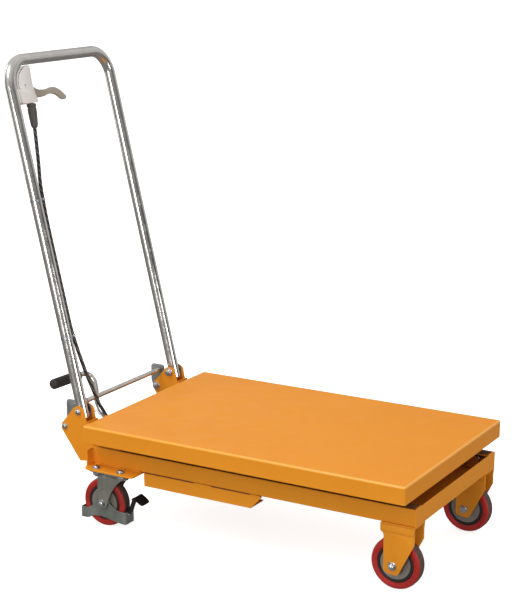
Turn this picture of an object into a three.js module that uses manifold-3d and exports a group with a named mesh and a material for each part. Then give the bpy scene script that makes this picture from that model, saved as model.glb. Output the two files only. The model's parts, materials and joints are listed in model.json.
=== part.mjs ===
// Mobile scissor lift table: fixed-height wheeled chassis, single scissor, tray
// deck, foot pump, hydraulic ram, folding push handle with release lever.
// Millimetres, +Z up. +X is the front (away from the handle), +Y is the left
// side seen from the handle. Everything is laid out about the deck's centre, and
// the whole group is then shifted along X so that the origin is under the
// middle of the overall box.
import * as THREE from 'three';
import { mergeVertices } from 'three/addons/utils/BufferGeometryUtils.js';
import Module from 'manifold-3d';

const wasm = await Module();
wasm.setup();

// ---------------------------------------------------------------- dimensions
// deck
const DECK_LENGTH = 700, DECK_WIDTH = 450, DECK_TOP = 220, DECK_SKIRT = 35, SHEET = 3;
const DECK_EDGE_RADIUS = 3;
// base frame
const RAIL_Z0 = 132, RAIL_Z1 = 166, RAIL_OUT = 186.7, RAIL_IN = 157;
const FRAME_REAR = -355, FRAME_FRONT = 355, GAP = 0.3;
// scissor: arm pitch between end pivots, lower pivot, closed angle
const ARM = 615, PIVOT_X = -290, PIVOT_Z = 148.5, CLOSED_RISE = 55;
const CLOSED = Math.asin(CLOSED_RISE / ARM);
const ARM_END_R = 12.2, ARM_MID_R = 17, ARM_T = 6;
const INNER_Y = 140, OUTER_Y = 150;
const PIN_R = 6.5, PIN_HOLE_R = 7.1;
const ROLLER_R = 13, ROLLER_HOLE_R = 6.4, ROLLER_PIN_R = 5.8;
// hydraulic ram: barrel pivot, rod eye station along the outer arm, attitude
const RAM_X = -151.5, RAM_Z = 100, ROD_S = 349.35, ROD_OFF = 5.56, RAM_ANGLE = 0.35602;
const BARREL_R = 19, BARREL_BORE = 13.5, BARREL_LENGTH = 202, ROD_R = 11;
// wheels
const WHEEL_R = 50, TYRE_W = 26, TYRE_IN = 36.4, HUB_R = 36.0, AXLE_R = 6;
const FRONT_X = 310, FRONT_Y = 163, SWIVEL_X = -302, SWIVEL_Y = 172, TRAIL = 30;
// push handle
const HANDLE_X = -391, HANDLE_Z = 230.5, HANDLE_Y = 167.9;
const HANDLE_LEAN = Math.atan2(165.9, 689.6), HANDLE_LENGTH = 709.3;
const TUBE_R = 11.5, TUBE_BORE = 9.7, BEND_R = 52, TUBE_TAIL = 14;
// handle lock yoke, pedal
const YOKE_X = -425, YOKE_Z = 196, LOCK_X = -417, LOCK_Z = 233.5, LOCK_R = 5;
const PEDAL_X = -368, PEDAL_Y = -58, PEDAL_Z = 150, PEDAL_R = 5.5;
// overall box, for the origin
const REAR_END = HANDLE_X - HANDLE_LENGTH * Math.sin(HANDLE_LEAN) - TUBE_R;
const FRONT_END = FRONT_X + WHEEL_R;
const SHIFT = -(REAR_END + FRONT_END) / 2;

// ---------------------------------------------------------------- materials
const mat = (color, roughness, metalness) =>
  new THREE.MeshStandardMaterial({ color, roughness, metalness });
const orange = () => mat(0xe8922a, 0.38, 0.0);
const zinc = () => mat(0xb9b9b6, 0.32, 1.0);
const chrome = () => mat(0xcfcdca, 0.18, 1.0);
const greySteel = () => mat(0x7f817c, 0.5, 0.6);
const red = () => mat(0xb02b2a, 0.45, 0.0);
const hubGrey = () => mat(0x6d6b64, 0.55, 0.0);
const black = () => mat(0x1e1d1b, 0.6, 0.0);
const castGrey = () => mat(0xc9c4c2, 0.45, 0.2);
const olive = () => mat(0x8b887a, 0.45, 0.1);

// ---------------------------------------------------------------- solid helpers
function solid(geo) {
  const g = geo.clone();
  g.deleteAttribute('normal');
  g.deleteAttribute('uv');
  const m = mergeVertices(g, 1e-4);
  return new wasm.Manifold(new wasm.Mesh({
    numProp: 3,
    vertProperties: new Float32Array(m.attributes.position.array),
    triVerts: new Uint32Array(m.index.array),
  }));
}
function geometry(man) {
  const m = man.getMesh();
  const g = new THREE.BufferGeometry();
  g.setAttribute('position', new THREE.BufferAttribute(new Float32Array(m.vertProperties), 3));
  g.setIndex(new THREE.BufferAttribute(new Uint32Array(m.triVerts), 1));
  g.computeVertexNormals();
  return g;
}
// joins every geometry in add, then cuts every geometry in cut
function build(add, cut = []) {
  let s = solid(add[0]);
  for (const g of add.slice(1)) s = s.add(solid(g));
  for (const g of cut) s = s.subtract(solid(g));
  return geometry(s);
}
function box(x0, x1, y0, y1, z0, z1) {
  return new THREE.BoxGeometry(x1 - x0, y1 - y0, z1 - z0)
    .translate((x0 + x1) / 2, (y0 + y1) / 2, (z0 + z1) / 2);
}
// box whose Y range is given as distances from the middle plane, on side s
function sideBox(s, x0, x1, y0, y1, z0, z1) {
  return s > 0 ? box(x0, x1, y0, y1, z0, z1) : box(x0, x1, -y1, -y0, z0, z1);
}
// a flat outline in X and Z, extruded from Y = y0 to y1
function plateXZ(points, y0, y1, holes = []) {
  const shape = points instanceof THREE.Shape ? points
    : new THREE.Shape(points.map(([x, z]) => new THREE.Vector2(x, z)));
  for (const [x, z, r, n = 24] of holes) {
    const hole = new THREE.Path();
    for (let i = 0; i < n; i++) {
      const a = (i / n) * 2 * Math.PI;
      hole[i ? 'lineTo' : 'moveTo'](x + r * Math.cos(a), z + r * Math.sin(a));
    }
    shape.holes.push(hole);
  }
  return new THREE.ExtrudeGeometry(shape, { depth: y1 - y0, bevelEnabled: false, curveSegments: 8 })
    .rotateX(Math.PI / 2).translate(0, y1, 0);
}
function sidePlate(s, points, y0, y1, holes) {
  return s > 0 ? plateXZ(points, y0, y1, holes) : plateXZ(points, -y1, -y0, holes);
}
// a round bar along Y
function barY(x, z, r, y0, y1, n = 24) {
  return new THREE.CylinderGeometry(r, r, y1 - y0, n).translate(x, (y0 + y1) / 2, z);
}
function sideBar(s, x, z, r, y0, y1, n) {
  return s > 0 ? barY(x, z, r, y0, y1, n) : barY(x, z, r, -y1, -y0, n);
}
// a round bar along Z
function barZ(x, y, r, z0, z1, n = 24) {
  return new THREE.CylinderGeometry(r, r, z1 - z0, n).rotateX(Math.PI / 2)
    .translate(x, y, (z0 + z1) / 2);
}
// a turned ring about Y: profile of [radius, along] pairs that closes on itself
function ringY(profile, n) {
  const p = profile.map(([r, a]) => new THREE.Vector2(r, a));
  p.push(p[0].clone());
  return geometry(solid(new THREE.LatheGeometry(p, n)));
}
// an outline with rounded corners: each point is [x, z, corner radius]
function rounded(points, steps = 4) {
  const out = [];
  const n = points.length;
  for (let i = 0; i < n; i++) {
    const [x, z, r = 0] = points[i];
    if (!r) { out.push([x, z]); continue; }
    const a = new THREE.Vector2(points[(i + n - 1) % n][0] - x, points[(i + n - 1) % n][1] - z).normalize();
    const b = new THREE.Vector2(points[(i + 1) % n][0] - x, points[(i + 1) % n][1] - z).normalize();
    const half = Math.acos(THREE.MathUtils.clamp(a.dot(b), -1, 1)) / 2;
    const t = r / Math.tan(half);
    const c = a.clone().add(b).normalize().multiplyScalar(r / Math.sin(half)).add(new THREE.Vector2(x, z));
    const p = new THREE.Vector2(x, z).addScaledVector(a, t), q = new THREE.Vector2(x, z).addScaledVector(b, t);
    let a0 = Math.atan2(p.y - c.y, p.x - c.x), a1 = Math.atan2(q.y - c.y, q.x - c.x);
    if (a1 - a0 > Math.PI) a1 -= 2 * Math.PI;
    if (a0 - a1 > Math.PI) a1 += 2 * Math.PI;
    for (let k = 0; k <= steps; k++) {
      const w = a0 + ((a1 - a0) * k) / steps;
      out.push([c.x + r * Math.cos(w), c.y + r * Math.sin(w)]);
    }
  }
  return out;
}
// a curve that is swept from station to station
class Stations extends THREE.Curve {
  constructor(points) { super(); this.stations = points; }
  getPoint(t) {
    const f = t * (this.stations.length - 1), i = Math.min(Math.floor(f), this.stations.length - 2);
    return this.stations[i].clone().lerp(this.stations[i + 1], f - i);
  }
  getPointAt(t) { return this.getPoint(t); }
  getSpacedPoints() { return this.stations.map((p) => p.clone()); }
  getTangentAt(t) {
    const s = this.stations, i = Math.round(t * (s.length - 1));
    const a = s[Math.max(i - 1, 0)], b = s[Math.min(i + 1, s.length - 1)], c = s[i];
    const u = c.clone().sub(a).normalize(), v = b.clone().sub(c).normalize();
    return u.lengthSq() < 0.5 ? v : v.lengthSq() < 0.5 ? u : u.add(v).normalize();
  }
}
function sweep(points, r, sides = 12, bore = 0) {
  const ring = (rr) => Array.from({ length: sides }, (_, i) => new THREE.Vector2(
    rr * Math.cos(((i + 0.5) * 2 * Math.PI) / sides), rr * Math.sin(((i + 0.5) * 2 * Math.PI) / sides)));
  const shape = new THREE.Shape(ring(r));
  if (bore) shape.holes.push(new THREE.Path(ring(bore)));
  return new THREE.ExtrudeGeometry(shape, {
    steps: points.length - 1, bevelEnabled: false, extrudePath: new Stations(points),
  });
}
function smooth(points, steps) {
  return new THREE.CatmullRomCurve3(points, false, 'centripetal').getSpacedPoints(steps);
}

// ---------------------------------------------------------------- scene graph
const table = new THREE.Group();
table.position.x = SHIFT;
function add(name, geo, material, parent = table) {
  const mesh = new THREE.Mesh(geo, material);
  mesh.name = name;
  parent.add(mesh);
  return mesh;
}
const SIDES = [['right', -1], ['left', 1]];

// ---------------------------------------------------------------- base frame
for (const [side, s] of SIDES) {
  // C channel, open inward: the lower scissor rollers run between its flanges
  add(`base_rail_${side}`, build([
    sideBox(s, FRAME_REAR + 3.3, FRAME_FRONT - 3.3, RAIL_OUT - 3, RAIL_OUT, RAIL_Z0, RAIL_Z1),
    sideBox(s, FRAME_REAR + 3.3, FRAME_FRONT - 3.3, RAIL_IN, RAIL_OUT, RAIL_Z0, RAIL_Z0 + 3),
    sideBox(s, FRAME_REAR + 3.3, FRAME_FRONT - 3.3, RAIL_IN, RAIL_OUT, RAIL_Z1 - 3, RAIL_Z1),
  ]), orange());
  // folded skirt under the rail, with a slanted front end
  add(`skirt_plate_${side}`, build([
    sidePlate(s, [[-229, 105.4], [14, 105.4], [38, 131.7], [-230, 131.7]], RAIL_OUT, RAIL_OUT + 3),
    sidePlate(s, [[-229, 105.4], [14, 105.4], [16.7, 108.4], [-229, 108.4]], RAIL_OUT - 42, RAIL_OUT + 1),
  ]), orange());
  // outrigger shelf for the swivel castor, with an upturned rear end
  add(`caster_shelf_${side}`, build([
    sidePlate(s, [[-356, 127.7], [-236, 127.7], [-236, 131.7], [-356, 131.7]], 118, 222),
    sidePlate(s, [[-356, 129], [-353, 129], [-353, 164], [-356, 164]], 187, 207),
  ], [
    // rounded outer corners
    barZCorner(-356, s * 222, 15, s, -1), barZCorner(-236, s * 222, 9, s, 1),
  ]), orange());
}
// the waste outside a rounded vertical corner, to be cut away
function barZCorner(x, y, r, sy, sx) {
  const pts = [[x + sx, y + sy], [x - sx * r, y + sy], [x - sx * r, y]];
  for (let k = 1; k < 6; k++) {
    const a = (k / 6) * (Math.PI / 2);
    pts.push([x - sx * r + sx * r * Math.sin(a), y - sy * r + sy * r * Math.cos(a)]);
  }
  pts.push([x, y - sy * r], [x + sx, y - sy * r]);
  const shape = new THREE.Shape(pts.map(([a, b]) => new THREE.Vector2(a, b)));
  return new THREE.ExtrudeGeometry(shape, { depth: 8, bevelEnabled: false }).translate(0, 0, 124);
}
add('front_crossmember', build([
  box(FRAME_FRONT - 3, FRAME_FRONT, -RAIL_OUT, RAIL_OUT, RAIL_Z0, RAIL_Z1),
  box(292, FRAME_FRONT - 1, -RAIL_IN + 0.5, RAIL_IN - 0.5, RAIL_Z0, RAIL_Z0 + 3),
]), orange());
add('rear_crossmember', build([
  box(FRAME_REAR, FRAME_REAR + 3, -RAIL_OUT, RAIL_OUT, RAIL_Z0, RAIL_Z1),
  box(FRAME_REAR + 1, FRAME_REAR + 30, -RAIL_IN + 0.5, RAIL_IN - 0.5, RAIL_Z0, RAIL_Z0 + 3),
]), orange());
// full width shaft at the lower rear pivot of the inner arms
add('base_pivot_shaft', barY(PIVOT_X, PIVOT_Z, PIN_R, -183.4, 183.4), greySteel());
// beam and clevis that take the thrust of the ram
add('cylinder_beam', build([
  box(-207, -183, -RAIL_OUT + 0.3, RAIL_OUT - 0.3, 110.4, 131.6),
  box(-207, -140.5, 15, 19, 89, 111),
  box(-207, -140.5, -19, -15, 89, 111),
  barY(RAM_X, RAM_Z, 5.5, -19, 19),
]), orange());

// ---------------------------------------------------------------- front wheels
const wheelGroup = (x, y, z) => {
  const g = new THREE.Group();
  g.position.set(x, y, z);
  table.add(g);
  return g;
};
const tyre = () => ringY([[TYRE_IN, -TYRE_W / 2 + 1], [WHEEL_R - 4, -TYRE_W / 2], [WHEEL_R, -TYRE_W / 2 + 5],
  [WHEEL_R, TYRE_W / 2 - 5], [WHEEL_R - 4, TYRE_W / 2], [TYRE_IN, TYRE_W / 2 - 1]], 40);
const hub = (half) => ringY([[6.6, -half], [13, -half], [13, -5], [29, -5], [29, -11.5], [HUB_R, -11.5],
  [HUB_R, 11.5], [29, 11.5], [29, 5], [13, 5], [13, half], [6.6, half]], 24);
const forkOutline = rounded([[288, 131.7, 0], [288, 112, 0], [291.5, 106, 0], [292, 38, 8], [319, 32, 10],
  [353, 98, 0], [353, 131.7, 0]]);
for (const [side, s] of SIDES) {
  add(`front_fork_${side}`, build([
    sidePlate(s, forkOutline.map(([x, z]) => [x, z]), 185, 188),
    sidePlate(s, forkOutline.map(([x, z]) => [x, z]), 144, 147),
    sideBox(s, 288, 353, 144, 188, 128.4, 131.7),
  ], [sideBar(s, FRONT_X, WHEEL_R, AXLE_R + 0.6, 120, 195)]), orange());
  add(`front_axle_${side}`, build([
    sideBar(s, FRONT_X, WHEEL_R, AXLE_R, 137, 189),
    sideBar(s, FRONT_X, WHEEL_R, 8.6, 188.3, 193.8, 18),
    sideBar(s, FRONT_X, WHEEL_R, 10.5, 135, 143.7, 6),
    sideBar(s, FRONT_X, WHEEL_R, 9.5, 147.3, 148.7, 18),
    sideBar(s, FRONT_X, WHEEL_R, 9.5, 177.3, 184.7, 18),
  ]), zinc());
  const g = wheelGroup(FRONT_X, s * FRONT_Y, WHEEL_R);
  add(`front_tyre_${side}`, tyre(), red(), g);
  add(`front_hub_${side}`, hub(14), hubGrey(), g);
}

// ---------------------------------------------------------------- swivel castors
for (const [side, s] of SIDES) {
  const g = wheelGroup(SWIVEL_X, s * SWIVEL_Y, 0);
  // fixed top plate with the upper ball race
  add(`caster_plate_${side}`, build([
    new THREE.BoxGeometry(86, 92, 3).translate(0, 0, 125.9),
    barZ(0, 0, 27, 117.3, 125, 32),
  ]), greySteel(), g);
  // fork: crown and two cheeks that trail to the rear
  const cheek = rounded([[-38, 116.7, 0], [-38, 43.5, 9], [-21, 39.5, 9], [-15.7, 55.6, 0], [-8.6, 74, 0], [3, 91.7, 0], [17, 106, 6], [33, 110, 0], [33.5, 116.7, 0]]);
  add(`caster_fork_${side}`, build([
    plateXZ(cheek, 16.6, 19.6), plateXZ(cheek, -19.6, -16.6),
    box(-38, 33.5, -19.6, 19.6, 113.4, 116.9),
    barZ(0, 0, 22, 106.5, 114, 32),
  ], [barY(-TRAIL, WHEEL_R, AXLE_R + 0.5, -30, 30)]), greySteel(), g);
  add(`caster_axle_${side}`, build([
    barY(-TRAIL, WHEEL_R, AXLE_R, -21, 21),
    barY(-TRAIL, WHEEL_R, 9, 19.9, 26.7, 18),
    barY(-TRAIL, WHEEL_R, 9, -26.7, -19.9, 18),
  ]), zinc(), g);
  add(`caster_tyre_${side}`, tyre().translate(-TRAIL, 0, WHEEL_R).scale(1, 24.6 / TYRE_W, 1), red(), g);
  add(`caster_hub_${side}`, hub(12).translate(-TRAIL, 0, WHEEL_R), hubGrey(), g);
  // brake band: two cheeks on the axle, joined round the wheel at both ends,
  // with the toe pedal rising from the front end
  const band = rounded([[-85.5, 33.5, 3], [-85.5, 11, 3], [-68, 11, 6], [-54, 20, 8], [-33, 21.5, 8], [-9, 17, 8], [8, 13.5, 6], [25, 12.7, 3],
    [25, 38, 3], [2, 40, 8], [-16, 54, 9], [-22, 60, 6], [-40, 60, 8], [-50, 48, 8], [-62, 34, 6]]);
  add(`brake_band_${side}`, build([
    plateXZ(band, 13.6, 15.8), plateXZ(band, -15.8, -13.6),
    box(-85.5, -83.1, -15.8, 15.8, 11.4, 33.1),
    box(22.6, 25, -15.8, 15.8, 13.1, 37.6),
    plateXZ([[22.6, 30], [25, 30], [31, 50], [41, 73], [62, 61.5], [63.5, 64], [42, 77], [38.5, 76], [28.5, 52]], -15, 15),
  ], [barY(-TRAIL, WHEEL_R, AXLE_R + 0.5, -30, 30)]), greySteel(), g);
}

// ---------------------------------------------------------------- deck
{
  const hx = DECK_LENGTH / 2, hy = DECK_WIDTH / 2, z1 = DECK_TOP, z0 = DECK_TOP - DECK_SKIRT;
  const rect = (x, y, r) => new THREE.Shape(rounded([[-x, -y, r], [x, -y, r], [x, y, r], [-x, y, r]], 3)
    .map(([a, b]) => new THREE.Vector2(a, b)));
  const r = DECK_EDGE_RADIUS;
  const outer = new THREE.ExtrudeGeometry(rect(hx - r, hy - r, 3), {
    depth: DECK_SKIRT - r, bevelEnabled: true, bevelThickness: r, bevelSize: r, bevelSegments: 3,
  }).translate(0, 0, z0);
  const below = box(-hx - 5, hx + 5, -hy - 5, hy + 5, z0 - 20, z0);
  const inside = new THREE.ExtrudeGeometry(rect(hx - SHEET, hy - SHEET, 3), {
    depth: 60, bevelEnabled: false,
  }).translate(0, 0, z1 - SHEET - 60);
  add('platform_deck', build([outer], [below, inside]), orange());
}
for (const [side, s] of SIDES) {
  add(`platform_lug_${side}`, build([
    sidePlate(s, rounded([[-310, 216.7, 0], [-304, 191, 10], [-276, 191, 10], [-270, 216.7, 0]]), 159, 165),
    sideBar(s, PIVOT_X, PIVOT_Z + CLOSED_RISE, PIN_R, 149.6, 160),
  ]), orange());
}

// ---------------------------------------------------------------- scissor arms
// both arms are drawn along local +X from the first pivot, then turned
function armOutline(len) {
  const e = ARM_END_R, m = ARM_MID_R, pts = [];
  for (let k = 0; k <= 8; k++) {
    const a = Math.PI / 2 + (k / 8) * Math.PI;
    pts.push([e * Math.cos(a), e * Math.sin(a)]);
  }
  pts.push([len / 2 - 60, -m], [len / 2 + 60, -m]);
  for (let k = 0; k <= 8; k++) {
    const a = -Math.PI / 2 + (k / 8) * Math.PI;
    pts.push([len + e * Math.cos(a), e * Math.sin(a)]);
  }
  pts.push([len / 2 + 60, m], [len / 2 - 60, m]);
  return pts;
}
const innerArms = new THREE.Group();
innerArms.position.set(PIVOT_X, 0, PIVOT_Z);
innerArms.rotation.y = -CLOSED;
table.add(innerArms);
const outerArms = new THREE.Group();
outerArms.position.set(PIVOT_X, 0, PIVOT_Z + CLOSED_RISE);
outerArms.rotation.y = CLOSED;
table.add(outerArms);
for (const [side, s] of SIDES) {
  // inner arm: hole on the base shaft, centre pin outward, roller pin at the top end
  add(`inner_arm_${side}`, build([
    sidePlate(s, armOutline(ARM), INNER_Y, INNER_Y + ARM_T, [[0, 0, PIN_HOLE_R]]),
    sideBar(s, ARM / 2, 0, PIN_R, INNER_Y + 1, 158.5),
    sideBar(s, ARM / 2, 0, 10, 156.5, 159.8, 18),
    sideBar(s, ARM, 0, ROLLER_PIN_R, INNER_Y + 1, 169),
  ]), orange(), innerArms);
  // outer arm: hole on the deck pin, hole on the centre pin, roller pin at the low end
  add(`outer_arm_${side}`, build([
    sidePlate(s, armOutline(ARM), OUTER_Y, OUTER_Y + ARM_T, [[0, 0, PIN_HOLE_R], [ARM / 2, 0, PIN_HOLE_R]]),
    sideBar(s, ARM, 0, ROLLER_PIN_R, OUTER_Y + 1, 179),
  ]), orange(), outerArms);
  const roller = (y0, y1) => {
    const h = (y1 - y0) / 2;
    return ringY([[ROLLER_HOLE_R, -h], [ROLLER_R - 1, -h], [ROLLER_R, -h + 1], [ROLLER_R, h - 1], [ROLLER_R - 1, h], [ROLLER_HOLE_R, h]], 24)
      .translate(0, s * (y0 + y1) / 2, 0);
  };
  const low = add(`lower_roller_${side}`, roller(158.5, 178.5), greySteel());
  low.position.set(PIVOT_X + ARM * Math.cos(CLOSED), 0, PIVOT_Z);
  const up = add(`upper_roller_${side}`, roller(148.5, 168.5), greySteel());
  up.position.set(PIVOT_X + ARM * Math.cos(CLOSED), 0, PIVOT_Z + CLOSED_RISE);
}
add('inner_arm_tube', barY(575, 0, 10, -INNER_Y + 0.3, INNER_Y - 0.3), orange(), innerArms);
// cross tube of the outer arms, with the two levers that the ram pushes on
add('outer_arm_tube', build([
  barY(590, 0, 11, -OUTER_Y + 0.3, OUTER_Y - 0.3),
  plateXZ([[ROD_S - 11, ROD_OFF - 9], [ROD_S - 4, ROD_OFF - 12], [595, -9], [595, 9], [ROD_S - 4, ROD_OFF + 12], [ROD_S - 11, ROD_OFF + 9]], 15, 19),
  plateXZ([[ROD_S - 11, ROD_OFF - 9], [ROD_S - 4, ROD_OFF - 12], [595, -9], [595, 9], [ROD_S - 4, ROD_OFF + 12], [ROD_S - 11, ROD_OFF + 9]], -19, -15),
  barY(ROD_S, ROD_OFF, 5.5, -19, 19),
]), orange(), outerArms);

// ---------------------------------------------------------------- hydraulic ram
const ram = new THREE.Group();
ram.position.set(RAM_X, 0, RAM_Z);
ram.rotation.y = -RAM_ANGLE;
table.add(ram);
const barX = (r, x0, x1, n = 32) => new THREE.CylinderGeometry(r, r, x1 - x0, n).rotateZ(Math.PI / 2).translate((x0 + x1) / 2, 0, 0);
add('cylinder_barrel', build([
  barX(BARREL_R, 17.5, BARREL_LENGTH), barX(BARREL_R + 2.5, BARREL_LENGTH - 14, BARREL_LENGTH),
  barY(0, 0, 11, -13.5, 13.5), box(0, 19, -11, 11, -11, 11),
], [barX(BARREL_BORE, 22, BARREL_LENGTH + 5), barY(0, 0, 6.3, -30, 30)]), black(), ram);
// the rod eye sits on the outer arm's lever pin
const rodPin = new THREE.Vector3(ROD_S, 0, ROD_OFF).applyAxisAngle(new THREE.Vector3(0, 1, 0), CLOSED)
  .add(new THREE.Vector3(PIVOT_X, 0, PIVOT_Z + CLOSED_RISE));
const rod = new THREE.Group();
rod.position.copy(rodPin);
rod.rotation.y = -RAM_ANGLE;
table.add(rod);
add('piston_rod', build([barX(ROD_R, -198, -9, 32), barY(0, 0, 11, -13.5, 13.5)],
  [barY(0, 0, 6.3, -30, 30)]), chrome(), rod);

// ---------------------------------------------------------------- foot pump
add('pump_block', build([
  box(-339, -256, -82, 12, 86, 131.6),
  barZ(-275, -35, 24, 74, 90, 28),
  box(-384, -330, -70.5, -66.3, 108, 166), box(-384, -330, -49.7, -45.5, 108, 166),
  box(-384, -330, -70.5, -45.5, 108, 128),
  box(-388, -366, -92, -66.3, 128, 133),
  barY(PEDAL_X, PEDAL_Z, 6, -68, -48),
], [box(-355.5, -330, -90, 0, 131.7, 170)]), black());
// the pedal rises to the rear, then turns across to the grip
const pedalPath = smooth([
  [PEDAL_X - 7, PEDAL_Y, PEDAL_Z + 8], [-386, -59, 168], [-404, -61, 180], [-424, -56, 190.5], [-438, -50, 202], [-447, -44, 215],
  [-452, -38, 232], [-459, -34, 248], [-469, -37, 260], [-474.5, -50, 265], [-476, -62, 265],
].map((p) => new THREE.Vector3(...p)), 22);
pedalPath.push(new THREE.Vector3(-481.5, -144, 265));
add('pedal_arm', build([
  sweep(pedalPath, PEDAL_R, 10),
  barY(PEDAL_X, PEDAL_Z, 12, -65.7, -50.3),
], [barY(PEDAL_X, PEDAL_Z, 6.6, -80, -40)]), zinc());
add('pedal_grip', build([
  sweep([[-476.3, -66, 265], [-481.6, -147, 265]].map((p) => new THREE.Vector3(...p)), 11, 16),
], [sweep([[-475.2, -50, 265], [-481.46, -144.5, 265]].map((p) => new THREE.Vector3(...p)), PEDAL_R + 0.35, 16)]), black());

// ---------------------------------------------------------------- handle brackets
const bracketOutline = rounded([[HANDLE_X - 9, HANDLE_Z + 9, 6], [HANDLE_X + 1, HANDLE_Z + 13, 8], [HANDLE_X + 14, HANDLE_Z + 6, 8],
  [-372.5, 214, 0], [-365, 205, 0], [FRAME_REAR - 0.3, 196, 0], [FRAME_REAR - 0.3, 132.3, 0], [-362, 132.3, 0], [-389, 128.5, 4], [-434, 190, 7], [-433, 201, 6]]);
for (const [side, s] of SIDES) {
  const inner = [149.2, 152.2], outer = [180.4, 183.4];
  add(`handle_bracket_${side}`, build([
    sidePlate(s, bracketOutline, ...inner), sidePlate(s, bracketOutline, ...outer),
    sideBox(s, -369, -366, 150, 183, 140, 213.5),
  ], [
    sideBar(s, HANDLE_X, HANDLE_Z, 5.6, 140, 200), sideBar(s, YOKE_X, YOKE_Z, 5.1, 140, 200),
    sideBox(s, -390, -344, 140, 200, 166.3, 166.6),
  ].slice(0, 2)), orange());
  add(`handle_pivot_bolt_${side}`, build([
    sideBar(s, HANDLE_X, HANDLE_Z, 5, 144, 186),
    sideBar(s, HANDLE_X, HANDLE_Z, 8, 183.7, 189.5, 20),
    sideBar(s, HANDLE_X, HANDLE_Z, 8.5, 143, 148.9, 6),
  ]), zinc());
  // lock plate with its pivot pin through both bracket cheeks
  add(`lock_plate_${side}`, build([
    sidePlate(s, rounded([[-441, 244, 7], [-441, 208, 6], [-436, 190, 8], [-414, 186, 8], [-407, 222, 6], [-407, 244, 7]]), 152.6, 155.8),
    sideBar(s, YOKE_X, YOKE_Z, 4.5, 146, 186),
    sideBar(s, YOKE_X, YOKE_Z, 7, 183.7, 187.7, 18),
    sideBar(s, YOKE_X, YOKE_Z, 7.5, 143, 148.9, 6),
  ], [sideBar(s, LOCK_X, LOCK_Z, LOCK_R + 0.3, 150, 160)]), greySteel());
}
add('lock_rod', barY(LOCK_X, LOCK_Z, LOCK_R, -157, 157, 20), zinc());

// ---------------------------------------------------------------- push handle
// drawn in its own plane: local Y across, local Z along the legs from the pivot
const handle = new THREE.Group();
handle.position.set(HANDLE_X, 0, HANDLE_Z);
handle.rotation.y = -HANDLE_LEAN;
table.add(handle);
{
  const pts = [], top = HANDLE_LENGTH, y = HANDLE_Y, r = BEND_R;
  pts.push([-y, -TUBE_TAIL], [-y, 320]);
  for (let k = 0; k <= 7; k++) {
    const a = Math.PI - (k / 7) * (Math.PI / 2);
    pts.push([-y + r + r * Math.cos(a), top - r + r * Math.sin(a)]);
  }
  const path = [...pts, ...pts.slice().reverse().map(([a, b]) => [-a, b])];
  add('handle_tube', build([sweep(path.map(([a, b]) => new THREE.Vector3(0, a, b)), TUBE_R, 16, TUBE_BORE)],
    [barY(0, 0, 5.5, -200, 200, 20)]), zinc(), handle);
}
// an outline in the handle's plane, extruded through it from x0 to x1
function plateYZ(points, x0, x1) {
  return new THREE.ExtrudeGeometry(new THREE.Shape(points.map(([y, z]) => new THREE.Vector2(y, z))),
    { depth: x1 - x0, bevelEnabled: false }).rotateX(Math.PI / 2).rotateZ(Math.PI / 2).translate(x0, 0, 0);
}
const barLocalX = (y, z, r, x0, x1, n = 16) => new THREE.CylinderGeometry(r, r, x1 - x0, n).rotateZ(Math.PI / 2).translate((x0 + x1) / 2, y, z);
const LEVER_PIN = [-134, 657];
add('lever_housing', build([
  plateYZ(rounded([[-134, 693.5, 4], [-111, 697, 2], [-107.5, 687, 2], [-109.9, 662, 0], [-109, 650, 0], [-105.6, 629.6, 0], [-102.6, 623, 1.5],
    [-114, 621.4, 0], [-151, 622.2, 4], [-155.6, 629, 2], [-155.6, 657, 0], [-147, 679, 8]], 3), -10, 10),
], [plateYZ([[-143, 629.8], [-90, 629.8], [-90, 684], [-143, 684]], -4.2, 4.2)]).clone(), castGrey(), handle);
{
  // the lever's pivot pin is part of the housing
  const h = handle.children.find((m) => m.name === 'lever_housing');
  h.geometry = build([h.geometry, barLocalX(...LEVER_PIN, 2.2, -9, 9)]);
}
const leverTop = [[-99.4, 651.7], [-81.3, 645.5], [-64.1, 644.9], [-45.7, 646.9], [-28.4, 645.3], [-13.5, 636.6], [-3.5, 627]];
const leverLow = [[-2.3, 622.5], [-7.5, 619.3], [-18.9, 621.3], [-28.3, 628.7], [-41.4, 633.6], [-56.1, 634.1], [-71.9, 631], [-86.9, 630.3], [-98, 630.8]];
add('release_lever', build([
  plateYZ([[-135, 664], [-128, 664], ...leverTop, ...leverLow, [-118, 640], [-132, 650], [-140, 653], [-141, 660]], -3.6, 3.6),
], [barLocalX(...LEVER_PIN, 2.8, -8, 8)]), olive(), handle);
// release cable: sleeve boot and outer sheath down the leg to the pivot
{
  const up = [[-121.6, 576, 6.0], [-122.5, 569.9], [-126.9, 543.7], [-134.2, 503.2], [-142.6, 462.8], [-145.8, 426.9], [-147.6, 390.2], [-148, 368],
    [-148, 260], [-147.6, 170], [-144.5, 140], [-139, 105], [-130, 62], [-121, 30], [-115.5, 12]];
  const path = smooth(up.map(([a, b]) => new THREE.Vector3(0, a, b)), 34);
  path.push(new THREE.Vector3(0, -113.4, 4.3));
  const boot = new THREE.LatheGeometry([[0, 0], [9.6, 0], [9.6, 5], [8.6, 7], [7.8, 24], [5, 44], [4.2, 48], [0, 48]]
    .map(([r, a]) => new THREE.Vector2(r, a)), 16).rotateX(-Math.PI / 2).rotateX(-0.1).translate(0, -116.6, 619.9);
  add('cable_upper', build([sweep(path, 3, 8), boot]), black(), handle);
}
{
  // lower sheath: from the pivot down behind the deck to the pump's valve arm
  const low = [[-390, -111.2, 226.8], [-384, -110, 218], [-377, -108, 205], [-376, -103, 190], [-377, -95, 172], [-377, -86, 154], [-377, -83, 133.6]];
  add('cable_lower', build([sweep(smooth(low.map((p) => new THREE.Vector3(...p)), 14), 3, 8)]), black());
}

export default table;
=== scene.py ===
import bpy, bmesh, json, math, random
from math import sin, cos, tan, pi, radians, sqrt, atan2
from mathutils import Vector, Matrix, Euler

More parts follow.
